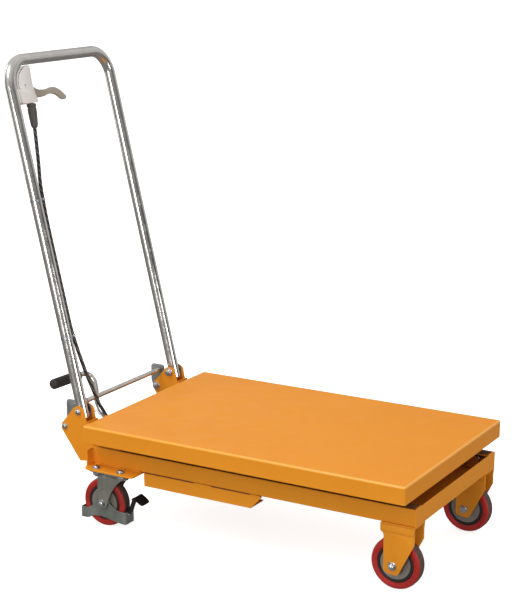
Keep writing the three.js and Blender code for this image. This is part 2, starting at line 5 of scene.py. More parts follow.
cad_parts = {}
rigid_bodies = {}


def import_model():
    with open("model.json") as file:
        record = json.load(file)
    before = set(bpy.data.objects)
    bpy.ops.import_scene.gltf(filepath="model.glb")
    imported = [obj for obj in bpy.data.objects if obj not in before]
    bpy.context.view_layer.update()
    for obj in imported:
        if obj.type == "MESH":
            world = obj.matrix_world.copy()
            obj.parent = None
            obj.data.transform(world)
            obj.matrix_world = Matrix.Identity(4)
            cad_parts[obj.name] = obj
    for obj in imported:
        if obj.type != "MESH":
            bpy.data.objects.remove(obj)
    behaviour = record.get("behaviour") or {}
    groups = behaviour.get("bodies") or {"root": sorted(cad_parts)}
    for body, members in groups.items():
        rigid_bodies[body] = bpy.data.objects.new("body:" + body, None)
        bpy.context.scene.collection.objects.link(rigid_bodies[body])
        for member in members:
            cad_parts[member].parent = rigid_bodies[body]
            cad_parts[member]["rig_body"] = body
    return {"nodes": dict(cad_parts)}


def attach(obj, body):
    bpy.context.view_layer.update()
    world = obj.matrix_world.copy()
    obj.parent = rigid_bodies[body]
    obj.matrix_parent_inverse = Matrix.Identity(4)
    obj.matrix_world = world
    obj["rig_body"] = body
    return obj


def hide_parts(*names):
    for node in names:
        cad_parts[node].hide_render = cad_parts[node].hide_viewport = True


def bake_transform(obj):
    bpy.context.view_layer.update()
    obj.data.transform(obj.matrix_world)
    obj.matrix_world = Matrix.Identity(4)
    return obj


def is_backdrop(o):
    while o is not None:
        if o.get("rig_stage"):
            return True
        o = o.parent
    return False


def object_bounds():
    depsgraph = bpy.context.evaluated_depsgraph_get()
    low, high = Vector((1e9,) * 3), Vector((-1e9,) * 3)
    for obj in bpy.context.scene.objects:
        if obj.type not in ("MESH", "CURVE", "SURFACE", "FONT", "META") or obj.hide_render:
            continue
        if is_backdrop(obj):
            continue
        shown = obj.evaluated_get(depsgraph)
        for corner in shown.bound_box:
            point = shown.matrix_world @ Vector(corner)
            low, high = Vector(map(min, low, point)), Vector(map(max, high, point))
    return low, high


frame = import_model()
BOX0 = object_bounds()
random.seed(11)
NODES = frame["nodes"]
SHIFT = 0.10420292834626639          # deck centre to row origin along X, metres


def P(x, y, z):
    """A point given in millimetres about the deck's centre, as a row-frame vector in metres."""
    return Vector((x / 1000 + SHIFT, y / 1000, z / 1000))


# =====================================================================
# materials
# =====================================================================
class Mat:
    def __init__(self, name):
        self.m = bpy.data.materials.new(name)
        self.m.use_nodes = True
        self.t = self.m.node_tree
        self.t.nodes.clear()
        self.out = self.t.nodes.new("ShaderNodeOutputMaterial")
        self.b = self.t.nodes.new("ShaderNodeBsdfPrincipled")
        self.t.links.new(self.b.outputs[0], self.out.inputs[0])
        self.tc = self.t.nodes.new("ShaderNodeTexCoord")

    def node(self, kind, **kw):
        n = self.t.nodes.new(kind)
        for k, v in kw.items():
            setattr(n, k, v)
        return n

    def link(self, a, b):
        self.t.links.new(a, b)

    def coords(self, scale=(1, 1, 1)):
        mp = self.node("ShaderNodeMapping")
        mp.inputs["Scale"].default_value = scale
        self.link(self.tc.outputs["Object"], mp.inputs["Vector"])
        return mp.outputs[0]

    def noise(self, scale, detail=3.0, rough=0.5, vec=None, distortion=0.0):
        n = self.node("ShaderNodeTexNoise")
        n.inputs["Scale"].default_value = scale
        n.inputs["Detail"].default_value = detail
        n.inputs["Roughness"].default_value = rough
        n.inputs["Distortion"].default_value = distortion
        self.link(vec if vec is not None else self.tc.outputs["Object"], n.inputs["Vector"])
        return n.outputs["Fac"]

    def voronoi(self, scale, vec=None, feature="F1", out="Distance"):
        n = self.node("ShaderNodeTexVoronoi")
        n.feature = feature
        n.inputs["Scale"].default_value = scale
        self.link(vec if vec is not None else self.tc.outputs["Object"], n.inputs["Vector"])
        return n.outputs[out]

    def ramp(self, fac, stops):
        n = self.node("ShaderNodeValToRGB")
        e = n.color_ramp.elements
        while len(e) < len(stops):
            e.new(0.5)
        for el, (p, c) in zip(e, stops):
            el.position = p
            el.color = (*c, 1) if len(c) == 3 else c
        self.link(fac, n.inputs[0])
        return n.outputs[0]

    def value(self, fac, lo, hi, a=0.0, b=1.0):
        n = self.node("ShaderNodeMapRange")
        n.inputs["From Min"].default_value = a
        n.inputs["From Max"].default_value = b
        n.inputs["To Min"].default_value = lo
        n.inputs["To Max"].default_value = hi
        self.link(fac, n.inputs["Value"])
        return n.outputs[0]

    def mix(self, fac, a, b, blend="MIX"):
        n = self.node("ShaderNodeMix", data_type="RGBA", blend_type=blend)
        if isinstance(fac, (int, float)):
            n.inputs[0].default_value = fac
        else:
            self.link(fac, n.inputs[0])
        for sock, v in ((n.inputs[6], a), (n.inputs[7], b)):
            if isinstance(v, tuple):
                sock.default_value = (*v, 1)
            else:
                self.link(v, sock)
        return n.outputs[2]

    def math(self, op, a, b=None, clamp=False):
        n = self.node("ShaderNodeMath", operation=op, use_clamp=clamp)
        for i, v in enumerate((a, b)):
            if v is None:
                continue
            if isinstance(v, (int, float)):
                n.inputs[i].default_value = v
            else:
                self.link(v, n.inputs[i])
        return n.outputs[0]

    def color(self, v):
        if isinstance(v, tuple):
            self.b.inputs["Base Color"].default_value = (*v, 1)
        else:
            self.link(v, self.b.inputs["Base Color"])

    def rough(self, v):
        if isinstance(v, (int, float)):
            self.b.inputs["Roughness"].default_value = v
        else:
            self.link(v, self.b.inputs["Roughness"])

    def bump(self, *layers):
        prev = None
        for height, strength, distance in layers:
            n = self.node("ShaderNodeBump")
            n.inputs["Strength"].default_value = strength
            n.inputs["Distance"].default_value = distance
            self.link(height, n.inputs["Height"])
            if prev is not None:
                self.link(prev, n.inputs["Normal"])
            prev = n.outputs[0]
        self.link(prev, self.b.inputs["Normal"])

    def set(self, **kw):
        for k, v in kw.items():
            self.b.inputs[k.replace("_", " ")].default_value = v
        return self


def lin(r, g, b):
    f = lambda c: (c / 255 / 12.92) if c / 255 <= 0.04045 else ((c / 255 + 0.055) / 1.055) ** 2.4
    return (f(r), f(g), f(b))


def sep_z(m):
    n = m.node("ShaderNodeSeparateXYZ")
    m.link(m.tc.outputs["Object"], n.inputs[0])
    return n.outputs


def mat_paint(name, base, dark, light, dust=0.35, rough=0.36, spec=0.11):
    """Powder coat: an orange-peel skin, faint shade drift, pin specks, a little dust in low places."""
    m = Mat(name)
    drift = m.noise(3.2, 4, 0.55)
    c = m.mix(m.value(drift, 0.0, 1.0, 0.3, 0.72), dark, base)
    c = m.mix(m.value(m.noise(17, 5, 0.6), 0.0, 0.35, 0.45, 0.8), c, light)
    speck = m.value(m.voronoi(420), 1.0, 0.0, 0.04, 0.09)
    speck = m.math("MULTIPLY", speck, m.value(m.noise(45, 2), 0.0, 0.55, 0.56, 0.66), True)
    c = m.mix(speck, c, tuple(x * 0.45 for x in base))
    xyz = sep_z(m)
    low = m.value(xyz[2], dust, 0.0, 0.03, 0.17)
    grime = m.math("MULTIPLY", low, m.value(m.noise(60, 6, 0.7), 0.0, 1.0, 0.42, 0.75), True)
    c = m.mix(grime, c, tuple(x * 0.42 + 0.02 for x in base))
    m.color(c)
    r = m.value(m.noise(28, 5, 0.6), rough - 0.05, rough + 0.09, 0.3, 0.7)
    m.rough(m.math("ADD", r, m.math("MULTIPLY", grime, 0.25), True))
    peel = m.noise(780, 2, 0.4)
    wave = m.noise(150, 2, 0.5)
    m.bump((wave, 0.10, 0.0006), (peel, 0.13, 0.00022))
    m.set(Coat_Weight=0.02, Coat_Roughness=0.12, Specular_IOR_Level=spec)
    return m.m


def mat_metal(name, base, dark, rough=0.24, streak=(1, 1, 1), streak_scale=40, spots=0.3, bumpk=0.12, metallic=1.0, fine=0.10):
    """Plated or bare steel: drawn streaks, cloudy patches and small pits."""
    m = Mat(name)
    v = m.coords(streak)
    lines = m.noise(streak_scale, 6, 0.65, v)
    cloud = m.noise(9, 5, 0.6)
    c = m.mix(m.value(lines, 0.0, 1.0, 0.3, 0.7), dark, base)
    c = m.mix(m.value(cloud, 0.0, 0.45, 0.45, 0.8), c, tuple(x * 0.72 for x in base))
    pits = m.value(m.voronoi(330), 1.0, 0.0, 0.03, 0.10)
    pits = m.math("MULTIPLY", pits, m.value(m.noise(35, 3), 0.0, spots, 0.52, 0.7), True)
    c = m.mix(pits, c, tuple(x * 0.3 for x in dark))
    m.color(c)
    r = m.value(lines, rough - 0.07, rough + 0.10, 0.3, 0.7)
    m.rough(m.math("ADD", r, m.math("MULTIPLY", m.value(cloud, 0.0, 0.12, 0.4, 0.8), 1.0), True))
    m.bump((lines, bumpk, 0.0002), (m.noise(240, 3), fine, 0.00015))
    m.set(Metallic=metallic)
    return m.m


def mat_moulded(name, base, dark, rough=0.5, grain=900, depth=0.00012, spec=0.45, wear=0.5, scuff=(0.5, 0.5, 0.5)):
    """Moulded plastic or rubber: fine grain, cloudy shade, scuffed patches."""
    m = Mat(name)
    c = m.mix(m.value(m.noise(13, 5, 0.6), 0.0, 1.0, 0.3, 0.7), dark, base)
    sc = m.math("MULTIPLY", m.value(m.noise(75, 7, 0.75, None, 0.6), 0.0, 1.0, 0.58, 0.74), wear, True)
    c = m.mix(sc, c, scuff)
    m.color(c)
    m.rough(m.value(m.noise(40, 5, 0.6), rough - 0.08, rough + 0.12, 0.3, 0.7))
    m.bump((m.noise(130, 4, 0.6), 0.12, 0.0004), (m.noise(grain, 2, 0.5), 0.25, depth))
    m.set(Specular_IOR_Level=spec)
    return m.m


def mat_tyre():
    """Cast polyurethane: saturated red, slightly deeper in patches, road dust on the tread, faint mould marks."""
    m = Mat("red_polyurethane")
    red, deep = lin(196, 48, 41), lin(152, 33, 30)
    c = m.mix(m.value(m.noise(22, 5, 0.6), 0.0, 1.0, 0.3, 0.72), deep, red)
    sc = m.value(m.noise(150, 7, 0.75, None, 0.8), 0.0, 0.5, 0.60, 0.76)
    c = m.mix(sc, c, lin(190, 96, 86))
    m.color(c)
    m.rough(m.value(m.noise(60, 5, 0.6), 0.34, 0.56, 0.3, 0.7))
    m.bump((m.noise(90, 4, 0.6), 0.12, 0.0005), (m.noise(900, 2), 0.12, 0.0001))
    m.set(Specular_IOR_Level=0.3, Subsurface_Weight=0.04, Subsurface_Radius=(0.004, 0.001, 0.0008))
    return m.m


def mat_tread():
    """Running surface: darker, scuffed round the circumference, with pressed-in dust."""
    m = Mat("tyre_tread")
    c = m.mix(m.value(m.noise(120, 6, 0.7), 0.0, 1.0, 0.35, 0.7), lin(70, 48, 43), lin(104, 74, 65))
    c = m.mix(m.value(m.noise(300, 6, 0.75), 0.0, 0.6, 0.55, 0.75), c, lin(118, 96, 88))
    m.color(c)
    m.rough(m.value(m.noise(80, 5, 0.6), 0.5, 0.75, 0.3, 0.7))
    m.bump((m.noise(260, 5, 0.7), 0.3, 0.0005), (m.noise(1100, 3), 0.2, 0.00015))
    return m.m


def mat_cable():
    """Cable sheath: black with a lighter twisted thread that shows through."""
    m = Mat("cable_sheath")
    w = m.node("ShaderNodeTexWave", wave_type="BANDS", bands_direction="DIAGONAL")
    w.inputs["Scale"].default_value = 55
    w.inputs["Distortion"].default_value = 2.0
    w.inputs["Detail"].default_value = 2
    w.inputs["Detail Scale"].default_value = 3
    m.link(m.tc.outputs["Object"], w.inputs["Vector"])
    c = m.mix(m.value(w.outputs["Fac"], 0.0, 0.55, 0.55, 0.95), lin(30, 29, 28), lin(150, 146, 140))
    c = m.mix(m.value(m.noise(120, 4), 0.0, 0.4, 0.5, 0.8), c, lin(16, 15, 15))
    m.color(c)
    m.rough(m.value(m.noise(90, 4), 0.3, 0.5, 0.3, 0.7))
    m.bump((w.outputs["Fac"], 0.35, 0.0005), (m.noise(700, 2), 0.15, 0.0001))
    return m.m


ORANGE = mat_paint("orange_powder_coat", (0.85, 0.312, 0.022), (0.81, 0.288, 0.018), (0.875, 0.340, 0.03), dust=0.16)
# painted highlight: a lighter, glossier orange laid on the deck's rounded top edge
ORANGE_PAINTED_HIGHLIGHT = mat_paint("orange_powder_coat_painted_edge_highlight", (0.95, 0.42, 0.05), (0.92, 0.39, 0.04), (0.97, 0.46, 0.07), dust=0.05, rough=0.26, spec=0.5)
# painted shadow: a dark brown orange for the rail's top flange and the skirt seal run, where the deck's shadow falls
ORANGE_PAINTED_SHADOW = mat_paint("orange_powder_coat_painted_shadow", lin(124, 80, 42), lin(84, 58, 34), lin(140, 92, 50), dust=0.9, rough=0.5, spec=0.2)
# painted shade: a darker copy of the orange for the deck's underside and the parts beneath it
ORANGE_PAINTED_SHADE = mat_paint("orange_powder_coat_inner", lin(206, 122, 36), lin(172, 96, 30), lin(216, 134, 46), dust=0.75, rough=0.46)
ZINC = mat_metal("zinc_tube", lin(216, 213, 209), lin(196, 192, 188), rough=0.13, streak=(1, 1, 1), streak_scale=34, bumpk=0.01, fine=0.01, spots=0.2)
BOLT = mat_metal("zinc_bolt", lin(206, 208, 210), lin(150, 152, 156), rough=0.26, streak=(1, 1, 1), streak_scale=120, spots=0.7)
ROD = mat_metal("bright_rod", lin(222, 216, 211), lin(188, 182, 177), rough=0.18, streak=(1, 1, 1), streak_scale=40, bumpk=0.03)
CHROME = mat_metal("hard_chrome", lin(226, 226, 228), lin(196, 196, 200), rough=0.10, streak=(1, 1, 1), streak_scale=60, spots=0.1, bumpk=0.03)
GREY = mat_metal("grey_pressed_steel", lin(146, 145, 134), lin(116, 115, 106), rough=0.44, streak=(1, 1, 1), streak_scale=30, spots=0.6, metallic=0.35)
GREY_DARK = mat_metal("grey_brake_steel", lin(134, 137, 131), lin(102, 104, 99), rough=0.46, streak=(1, 1, 1), streak_scale=34, spots=0.7, metallic=0.3)
LOCKGREY = mat_metal("grey_lock_steel", lin(158, 163, 160), lin(118, 122, 120), rough=0.38, streak=(1, 1, 1), streak_scale=40, spots=0.5, metallic=0.5)
TYRE = mat_tyre()
TREAD = mat_tread()
BLACK_RING = mat_moulded("black_rim_ring", lin(34, 33, 32), lin(20, 20, 20), rough=0.5, wear=0.35, scuff=lin(96, 90, 84))
HUB = mat_moulded("grey_hub_moulding", lin(146, 139, 128), lin(116, 110, 100), rough=0.5, wear=0.4, scuff=lin(160, 152, 140))
RUBBER = mat_moulded("black_grip_rubber", lin(62, 58, 55), lin(38, 36, 34), rough=0.62, grain=700, wear=0.45, scuff=lin(104, 98, 92))
BOOT = mat_moulded("boot_rubber", lin(104, 101, 95), lin(76, 74, 69), rough=0.55, grain=800, wear=0.3, scuff=lin(128, 124, 118))
CAST = mat_moulded("light_cast_housing", lin(252, 248, 245), lin(240, 235, 231), rough=0.36, grain=500, depth=0.0002, wear=0.3, scuff=lin(176, 168, 162))
OLIVE = mat_moulded("olive_lever_moulding", lin(188, 180, 164), lin(158, 151, 136), rough=0.42, grain=700, wear=0.3, scuff=lin(172, 166, 152))
BLACKPAINT = mat_paint("black_enamel", lin(38, 37, 36), lin(26, 25, 25), lin(58, 56, 54), dust=0.3, rough=0.34)
CABLE = mat_cable()
HOSE = mat_moulded("hydraulic_hose", lin(36, 36, 36), lin(22, 22, 22), rough=0.45, grain=1200, depth=0.0003, wear=0.3, scuff=lin(84, 82, 80))
BRASS = mat_metal("brass_fitting", lin(196, 160, 92), lin(140, 108, 56), rough=0.3, streak=(1, 1, 1), streak_scale=60)
# painted shade: a near-black moulding set in the housing's slit, the lever slot and the pin's centre
RECESS_PAINTED_SHADE = mat_moulded("painted_shade_in_recesses", lin(38, 34, 32), lin(24, 22, 20), rough=0.7, wear=0.1)

# =====================================================================
# mesh helpers
# =====================================================================
PIECES = []


def new_obj(name, verts, faces, mat, mats=None):
    me = bpy.data.meshes.new(name)
    me.from_pydata([tuple(v) for v in verts], [], faces)
    me.validate()
    o = bpy.data.objects.new(name, me)
    bpy.context.scene.collection.objects.link(o)
    me.materials.append(mat)
    for m in mats or []:
        me.materials.append(m)
    return o


def from_bm(name, bm, mat, mats=None):
    me = bpy.data.meshes.new(name)
    bmesh.ops.recalc_face_normals(bm, faces=bm.faces[:])
    bm.to_mesh(me)
    bm.free()
    o = bpy.data.objects.new(name, me)
    bpy.context.scene.collection.objects.link(o)
    me.materials.append(mat)
    for m in mats or []:
        me.materials.append(m)
    return o


def smooth(o, angle=32):
    me = o.data
    me.polygons.foreach_set("use_smooth", [True] * len(me.polygons))
    me.update()
    me.set_sharp_from_angle(angle=radians(angle))
    return o


def bevel(o, width, segs=3, angle=34):
    b = o.modifiers.new("edge_round", "BEVEL")
    b.width = width / 1000
    b.segments = segs
    b.limit_method = "ANGLE"
    b.angle_limit = radians(angle)
    b.miter_outer = "MITER_ARC"
    b.use_clamp_overlap = True
    b.harden_normals = True
    return o


def put(o, body, replaces=()):
    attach(o, body)
    if replaces:
        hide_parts(*([replaces] if isinstance(replaces, str) else replaces))
    PIECES.append(o)
    return o


def cad_copy(node, mat, width=0.8, segs=3, angle=34, name=None, clean=1.5, mats=None):
    """A finished version of a CAD plate: its own mesh, coplanar facets merged, edges rounded over."""
    src = NODES[node]
    bm = bmesh.new()
    bm.from_mesh(src.data)
    bmesh.ops.remove_doubles(bm, verts=bm.verts[:], dist=2e-6)
    bmesh.ops.dissolve_limit(bm, angle_limit=radians(clean), verts=bm.verts[:], edges=bm.edges[:])
    o = from_bm(name or node + "_sheet", bm, mat, mats)
    smooth(o, angle)
    if width:
        bevel(o, width, segs, angle)
    return o


def finish_cad(node, mat, width=0.8, segs=3, angle=34, clean=1.5):
    o = cad_copy(node, mat, width, segs, angle, clean=clean)
    return put(o, NODES[node]["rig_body"], node)


def lathe(name, profile, segs, mat, axis="Y", centre=(0, 0, 0), closed=True, mats=None, face_mat=None):
    """profile: (radius, along) in mm; turned about axis through centre (row-frame metres)."""
    n = len(profile)
    verts, faces, mi = [], [], []
    pole = [abs(r) < 1e-6 for r, a in profile]
    idx = []
    for j, (r, a) in enumerate(profile):
        row = []
        if pole[j]:
            verts.append((0, 0, a / 1000))
            row = [len(verts) - 1] * segs
        else:
            for i in range(segs):
                t = 2 * pi * i / segs
                verts.append((r / 1000 * cos(t), r / 1000 * sin(t), a / 1000))
                row.append(len(verts) - 1)
        idx.append(row)
    last = n if closed else n - 1
    for j in range(last):
        k = (j + 1) % n
        for i in range(segs):
            q = [idx[j][i], idx[j][(i + 1) % segs], idx[k][(i + 1) % segs], idx[k][i]]
            q = list(dict.fromkeys(q))
            if len(q) >= 3:
                faces.append(q)
                mi.append(face_mat[j] if face_mat else 0)
    o = new_obj(name, verts, faces, mat, mats)
    if mats:
        for p, m in zip(o.data.polygons, mi):
            p.material_index = m
    rot = {"Z": Matrix.Identity(4), "Y": Matrix.Rotation(-pi / 2, 4, "X"), "X": Matrix.Rotation(pi / 2, 4, "Y")}[axis] if isinstance(axis, str) else axis
    bm = bmesh.new()
    bm.from_mesh(o.data)
    bmesh.ops.recalc_face_normals(bm, faces=bm.faces[:])
    bm.to_mesh(o.data)
    bm.free()
    o.data.transform(Matrix.Translation(Vector(centre)) @ rot)
    return smooth(o)


def axis_matrix(direction):
    """A rotation that takes local Z to direction."""
    return Vector((0, 0, 1)).rotation_difference(Vector(direction).normalized()).to_matrix().to_4x4()


def frames(pts):
    n = len(pts)
    tang = []
    for i in range(n):
        a, b = pts[max(i - 1, 0)], pts[min(i + 1, n - 1)]
        tang.append((b - a).normalized())
    up = Vector((0, 0, 1)) if abs(tang[0].z) < 0.9 else Vector((1, 0, 0))
    u = tang[0].cross(up).normalized()
    out = []
    for i in range(n):
        if i:
            q = tang[i - 1].rotation_difference(tang[i])
            u = (q @ u)
            u = (u - tang[i] * u.dot(tang[i])).normalized()
        out.append((pts[i], tang[i], u, tang[i].cross(u).normalized()))
    return out


def tube(name, pts, radius, mat, sides=32, cap=True, radii=None, bore=None, mats=None):
    """A round bar or pipe along row-frame points (metres); radius in mm, or a list per point."""
    fr = frames(pts)
    verts, faces = [], []
    rr = radii or [radius] * len(pts)
    for (p, t, u, v), r in zip(fr, rr):
        for i in range(sides):
            a = 2 * pi * i / sides
            verts.append(p + (u * cos(a) + v * sin(a)) * (r / 1000))
    n = len(pts)
    for j in range(n - 1):
        for i in range(sides):
            k = (i + 1) % sides
            faces.append([j * sides + i, j * sides + k, (j + 1) * sides + k, (j + 1) * sides + i])
    if bore:
        base = len(verts)
        for (p, t, u, v) in fr:
            for i in range(sides):
                a = 2 * pi * i / sides
                verts.append(p + (u * cos(a) + v * sin(a)) * (bore / 1000))
        for j in range(n - 1):
            for i in range(sides):
                k = (i + 1) % sides
                faces.append([base + j * sides + k, base + j * sides + i, base + (j + 1) * sides + i, base + (j + 1) * sides + k])
        for j in (0, n - 1):
            for i in range(sides):
                k = (i + 1) % sides
                q = [j * sides + i, j * sides + k, base + j * sides + k, base + j * sides + i]
                faces.append(q if j else q[::-1])
    elif cap:
        for j, rev in ((0, True), (n - 1, False)):
            ring = [j * sides + i for i in range(sides)]
            faces.append(ring[::-1] if rev else ring)
    o = new_obj(name, verts, faces, mat, mats)
    bm = bmesh.new()
    bm.from_mesh(o.data)
    bmesh.ops.recalc_face_normals(bm, faces=bm.faces[:])
    bm.to_mesh(o.data)
    bm.free()
    return smooth(o, 40)


def catmull(pts, per=8):
    """Centripetal-ish smooth line through row-frame points."""
    out = []
    n = len(pts)
    for i in range(n - 1):
        p0, p1, p2, p3 = pts[max(i - 1, 0)], pts[i], pts[i + 1], pts[min(i + 2, n - 1)]
        for k in range(per):
            t = k / per
            out.append(0.5 * ((2 * p1) + (p2 - p0) * t + (2 * p0 - 5 * p1 + 4 * p2 - p3) * t * t + (3 * p1 - p0 - 3 * p2 + p3) * t ** 3))
    out.append(pts[-1].copy())
    return out


def join(name, objs):
    """Several meshes in one object, keeping each one's materials."""
    mats = []
    bm = bmesh.new()
    dg = bpy.context.evaluated_depsgraph_get()
    for o in objs:
        dg.update()
        ev = o.evaluated_get(dg)
        me = bpy.data.meshes.new_from_object(ev)
        me.transform(o.matrix_world)
        remap = []
        for m in me.materials:
            if m not in mats:
                mats.append(m)
            remap.append(mats.index(m))
        for p in me.polygons:
            p.material_index = remap[p.material_index]
        bm.from_mesh(me)
        bpy.data.meshes.remove(me)
    me = bpy.data.meshes.new(name)
    bm.to_mesh(me)
    bm.free()
    for m in mats:
        me.materials.append(m)
    for o in objs:
        bpy.data.objects.remove(o)
    o = bpy.data.objects.new(name, me)
    bpy.context.scene.collection.objects.link(o)
    return smooth(o)


def hexagon(name, r, h, mat, at, direction, chamfer=0.8, turn=0.0):
    """A hex head or nut: chamfered corners on the outer face, along direction from at."""
    bm = bmesh.new()
    prof = [(r - chamfer * 1.3, 0.0, 0), (r, 0.5, 1), (r, h - chamfer, 1), (r - chamfer * 1.6, h, 0)]
    rings = []
    for rad, z, _ in prof:
        rings.append([bm.verts.new((rad / 1000 * cos(turn + i * pi / 3), rad / 1000 * sin(turn + i * pi / 3), z / 1000)) for i in range(6)])
    for a, b in zip(rings, rings[1:]):
        for i in range(6):
            bm.faces.new([a[i], a[(i + 1) % 6], b[(i + 1) % 6], b[i]])
    bm.faces.new(rings[0][::-1])
    bm.faces.new(rings[-1])
    o = from_bm(name, bm, mat)
    o.data.transform(Matrix.Translation(at) @ axis_matrix(direction))
    smooth(o, 25)
    bevel(o, 0.35, 2, 20)
    return o


def washer(name, r, h, mat, at, direction, bore=0.0):
    prof = [(bore, 0), (r, 0), (r, h * 0.7), (r - 0.4, h), (bore, h)] if bore else [(0, 0), (r, 0), (r, h * 0.7), (r - 0.4, h), (0, h)]
    o = lathe(name, prof, 40, mat, axis=axis_matrix(direction), closed=bool(bore))
    o.data.transform(Matrix.Translation(at))
    return o


def dome_bolt(name, at, direction, r=7.5, h=4.5, mat=None, socket=True):
    """A pan or button head: domed, with a hex socket sunk in its crown."""
    mat = mat or BOLT
    prof = [(0, 0), (r, 0), (r, 0.8)]
    for k in range(1, 8):
        a = k / 7 * pi / 2 * 0.86
        prof.append((r * cos(a) , 0.8 + (h - 0.8) * sin(a) / sin(pi / 2 * 0.86)))
    rs = prof[-1][0]
    if socket:
        prof += [(min(rs, r * 0.42), h), (r * 0.38, h - 0.3), (r * 0.36, h - 2.0), (0, h - 2.2)]
    else:
        prof += [(0, h + 0.1)]
    o = lathe(name, prof, 36, mat, axis=axis_matrix(direction), closed=False)
    o.data.transform(Matrix.Translation(at))
    return o


def nut_stack(name, at, direction, r=8.2, h=6.0, bolt_r=4.0, tail=2.5, wash=9.5):
    """Washer, nut with a nylon collar, and the end of the thread."""
    d = Vector(direction).normalized()
    parts = [washer(name + "_w", wash, 1.2, BOLT, at, d),
             hexagon(name + "_n", r, h, BOLT, at + d * 0.0012, d, turn=random.random()),
             lathe(name + "_c", [(0, 0), (r * 0.84, 0), (r * 0.84, 0.9), (r * 0.74, 1.7), (bolt_r * 1.02, 1.9), (0, 1.9)], 32, BOLT,
                   axis=axis_matrix(d), closed=False)]
    parts[-1].data.transform(Matrix.Translation(at + d * (0.0012 + h / 1000 - 0.0003)))
    prof = [(0, 0), (bolt_r, 0)]
    for k in range(4):
        z = tail * k / 4
        prof += [(bolt_r, z + 0.12), (bolt_r - 0.35, z + tail / 8), (bolt_r, z + tail / 4)]
    prof += [(bolt_r - 0.7, tail + 0.5), (0, tail + 0.5)]
    t = lathe(name + "_t", prof, 28, BOLT, axis=axis_matrix(d), closed=False)
    t.data.transform(Matrix.Translation(at + d * (0.0012 + h / 1000 + 0.0010)))
    parts.append(t)
    return parts


# =====================================================================
# shared dimensions, mm about the deck centre
# =====================================================================
LEAN = atan2(165.9, 689.6)
CLOSED = math.asin(55 / 615)
RAM_ANGLE = 0.35602
SIDES = (("right", -1), ("left", 1))


def HP(y, s, n=0.0):
    """Across the handle, up its legs from the pivot, and off its plane towards the deck."""
    return P(-391 - s * sin(LEAN) + n * cos(LEAN), y, 230.5 + s * cos(LEAN) + n * sin(LEAN))


def IA(s, y, h=0.0):
    return P(-290 + s * cos(CLOSED) - h * sin(CLOSED), y, 148.5 + s * sin(CLOSED) + h * cos(CLOSED))


def OA(s, y, h=0.0):
    return P(-290 + s * cos(CLOSED) + h * sin(CLOSED), y, 203.5 - s * sin(CLOSED) + h * cos(CLOSED))


def rounded(points, steps=5):
    out = []
    n = len(points)
    for i, p in enumerate(points):
        x, z, r = (*p, 0)[:3]
        if not r:
            out.append((x, z))
            continue
        c0 = Vector((x, z))
        a = (Vector(points[(i - 1) % n][:2]) - c0).normalized()
        b = (Vector(points[(i + 1) % n][:2]) - c0).normalized()
        half = math.acos(max(-1, min(1, a.dot(b)))) / 2
        t = r / tan(half)
        c = c0 + (a + b).normalized() * (r / sin(half))
        p0, q0 = c0 + a * t, c0 + b * t
        a0, a1 = atan2(p0.y - c.y, p0.x - c.x), atan2(q0.y - c.y, q0.x - c.x)
        if a1 - a0 > pi:
            a1 -= 2 * pi
        if a0 - a1 > pi:
            a1 += 2 * pi
        for k in range(steps + 1):
            w = a0 + (a1 - a0) * k / steps
            out.append((c.x + r * cos(w), c.y + r * sin(w)))
    return out


def prism(name, outline, lo, hi, place, mat, bev=0.6, segs=3, angle=34):
    """An outline given as (u, v) pairs, extruded from lo to hi; place(u, v, w) gives the point."""
    bm = bmesh.new()
    a = [bm.verts.new(place(u, v, lo)) for u, v in outline]
    b = [bm.verts.new(place(u, v, hi)) for u, v in outline]
    bm.faces.new(a)
    bm.faces.new(b[::-1])
    n = len(a)
    for i in range(n):
        bm.faces.new([a[i], b[i], b[(i + 1) % n], a[(i + 1) % n]])
    o = from_bm(name, bm, mat)
    smooth(o, angle)
    if bev:
        bevel(o, bev, segs, angle)
    return o


XZ = lambda u, v, w: P(u, w, v)
YZ = lambda u, v, w: P(w, u, v)
XY = lambda u, v, w: P(u, v, w)


def block(name, x0, x1, y0, y1, z0, z1, mat, bev=0.8, segs=3):
    return prism(name, [(x0, z0), (x1, z0), (x1, z1), (x0, z1)], y0, y1, XZ, mat, bev, segs)


def weld(name, pts, r=1.5, mat=None, seed=0, pitch=2.4):
    """A run of overlapping weld ripples, painted over."""
    rng = random.Random(seed)
    line = []
    for a, b in zip(pts, pts[1:]):
        n = max(2, int((b - a).length * 1000 / 0.6))
        for k in range(n):
            line.append(a.lerp(b, k / n))
    line.append(pts[-1].copy())
    radii, d = [], 0.0
    jit = [rng.uniform(-0.12, 0.12) for _ in range(400)]
    for i, p in enumerate(line):
        if i:
            d += (p - line[i - 1]).length * 1000
        ph = (d / pitch) % 1.0
        k = int(d / pitch) % 400
        e = min(i, len(line) - 1 - i)
        radii.append(r * (0.86 + 0.17 * abs(sin(pi * ph)) + jit[k]) * (0.45 + 0.55 * min(1, e / 3)))
    return tube(name, line, r, mat or ORANGE, sides=10, radii=radii)


def spring(name, a, b, coil, wire, turns, mat):
    axis = (b - a)
    m = axis_matrix(axis)
    pts = []
    n = turns * 14
    for i in range(n + 1):
        t = i / n
        w = 2 * pi * turns * t
        pts.append(a + m.to_3x3() @ Vector((coil / 1000 * cos(w), coil / 1000 * sin(w), axis.length * t)))
    pts = [a.copy()] + pts[2:-2] + [b.copy()]
    return tube(name, pts, wire, mat, sides=8)


# =====================================================================
# camera and light
# =====================================================================
cam_data = bpy.data.cameras.new("camera")
cam = bpy.data.objects.new("camera", cam_data)
bpy.context.scene.collection.objects.link(cam)
cam.location = (1.551912, -2.627715, 1.189489)
cam.rotation_euler = (radians(90 - 13.4781), 0, radians(30.04411))
cam_data.lens = 95.04
cam_data.sensor_width = 36
cam_data.clip_end = 200
bpy.context.scene.camera = cam
vs = bpy.context.scene.view_settings
vs.view_transform = "Standard"
vs.look = "None"
vs.exposure = 0.0
vs.gamma = 1.0


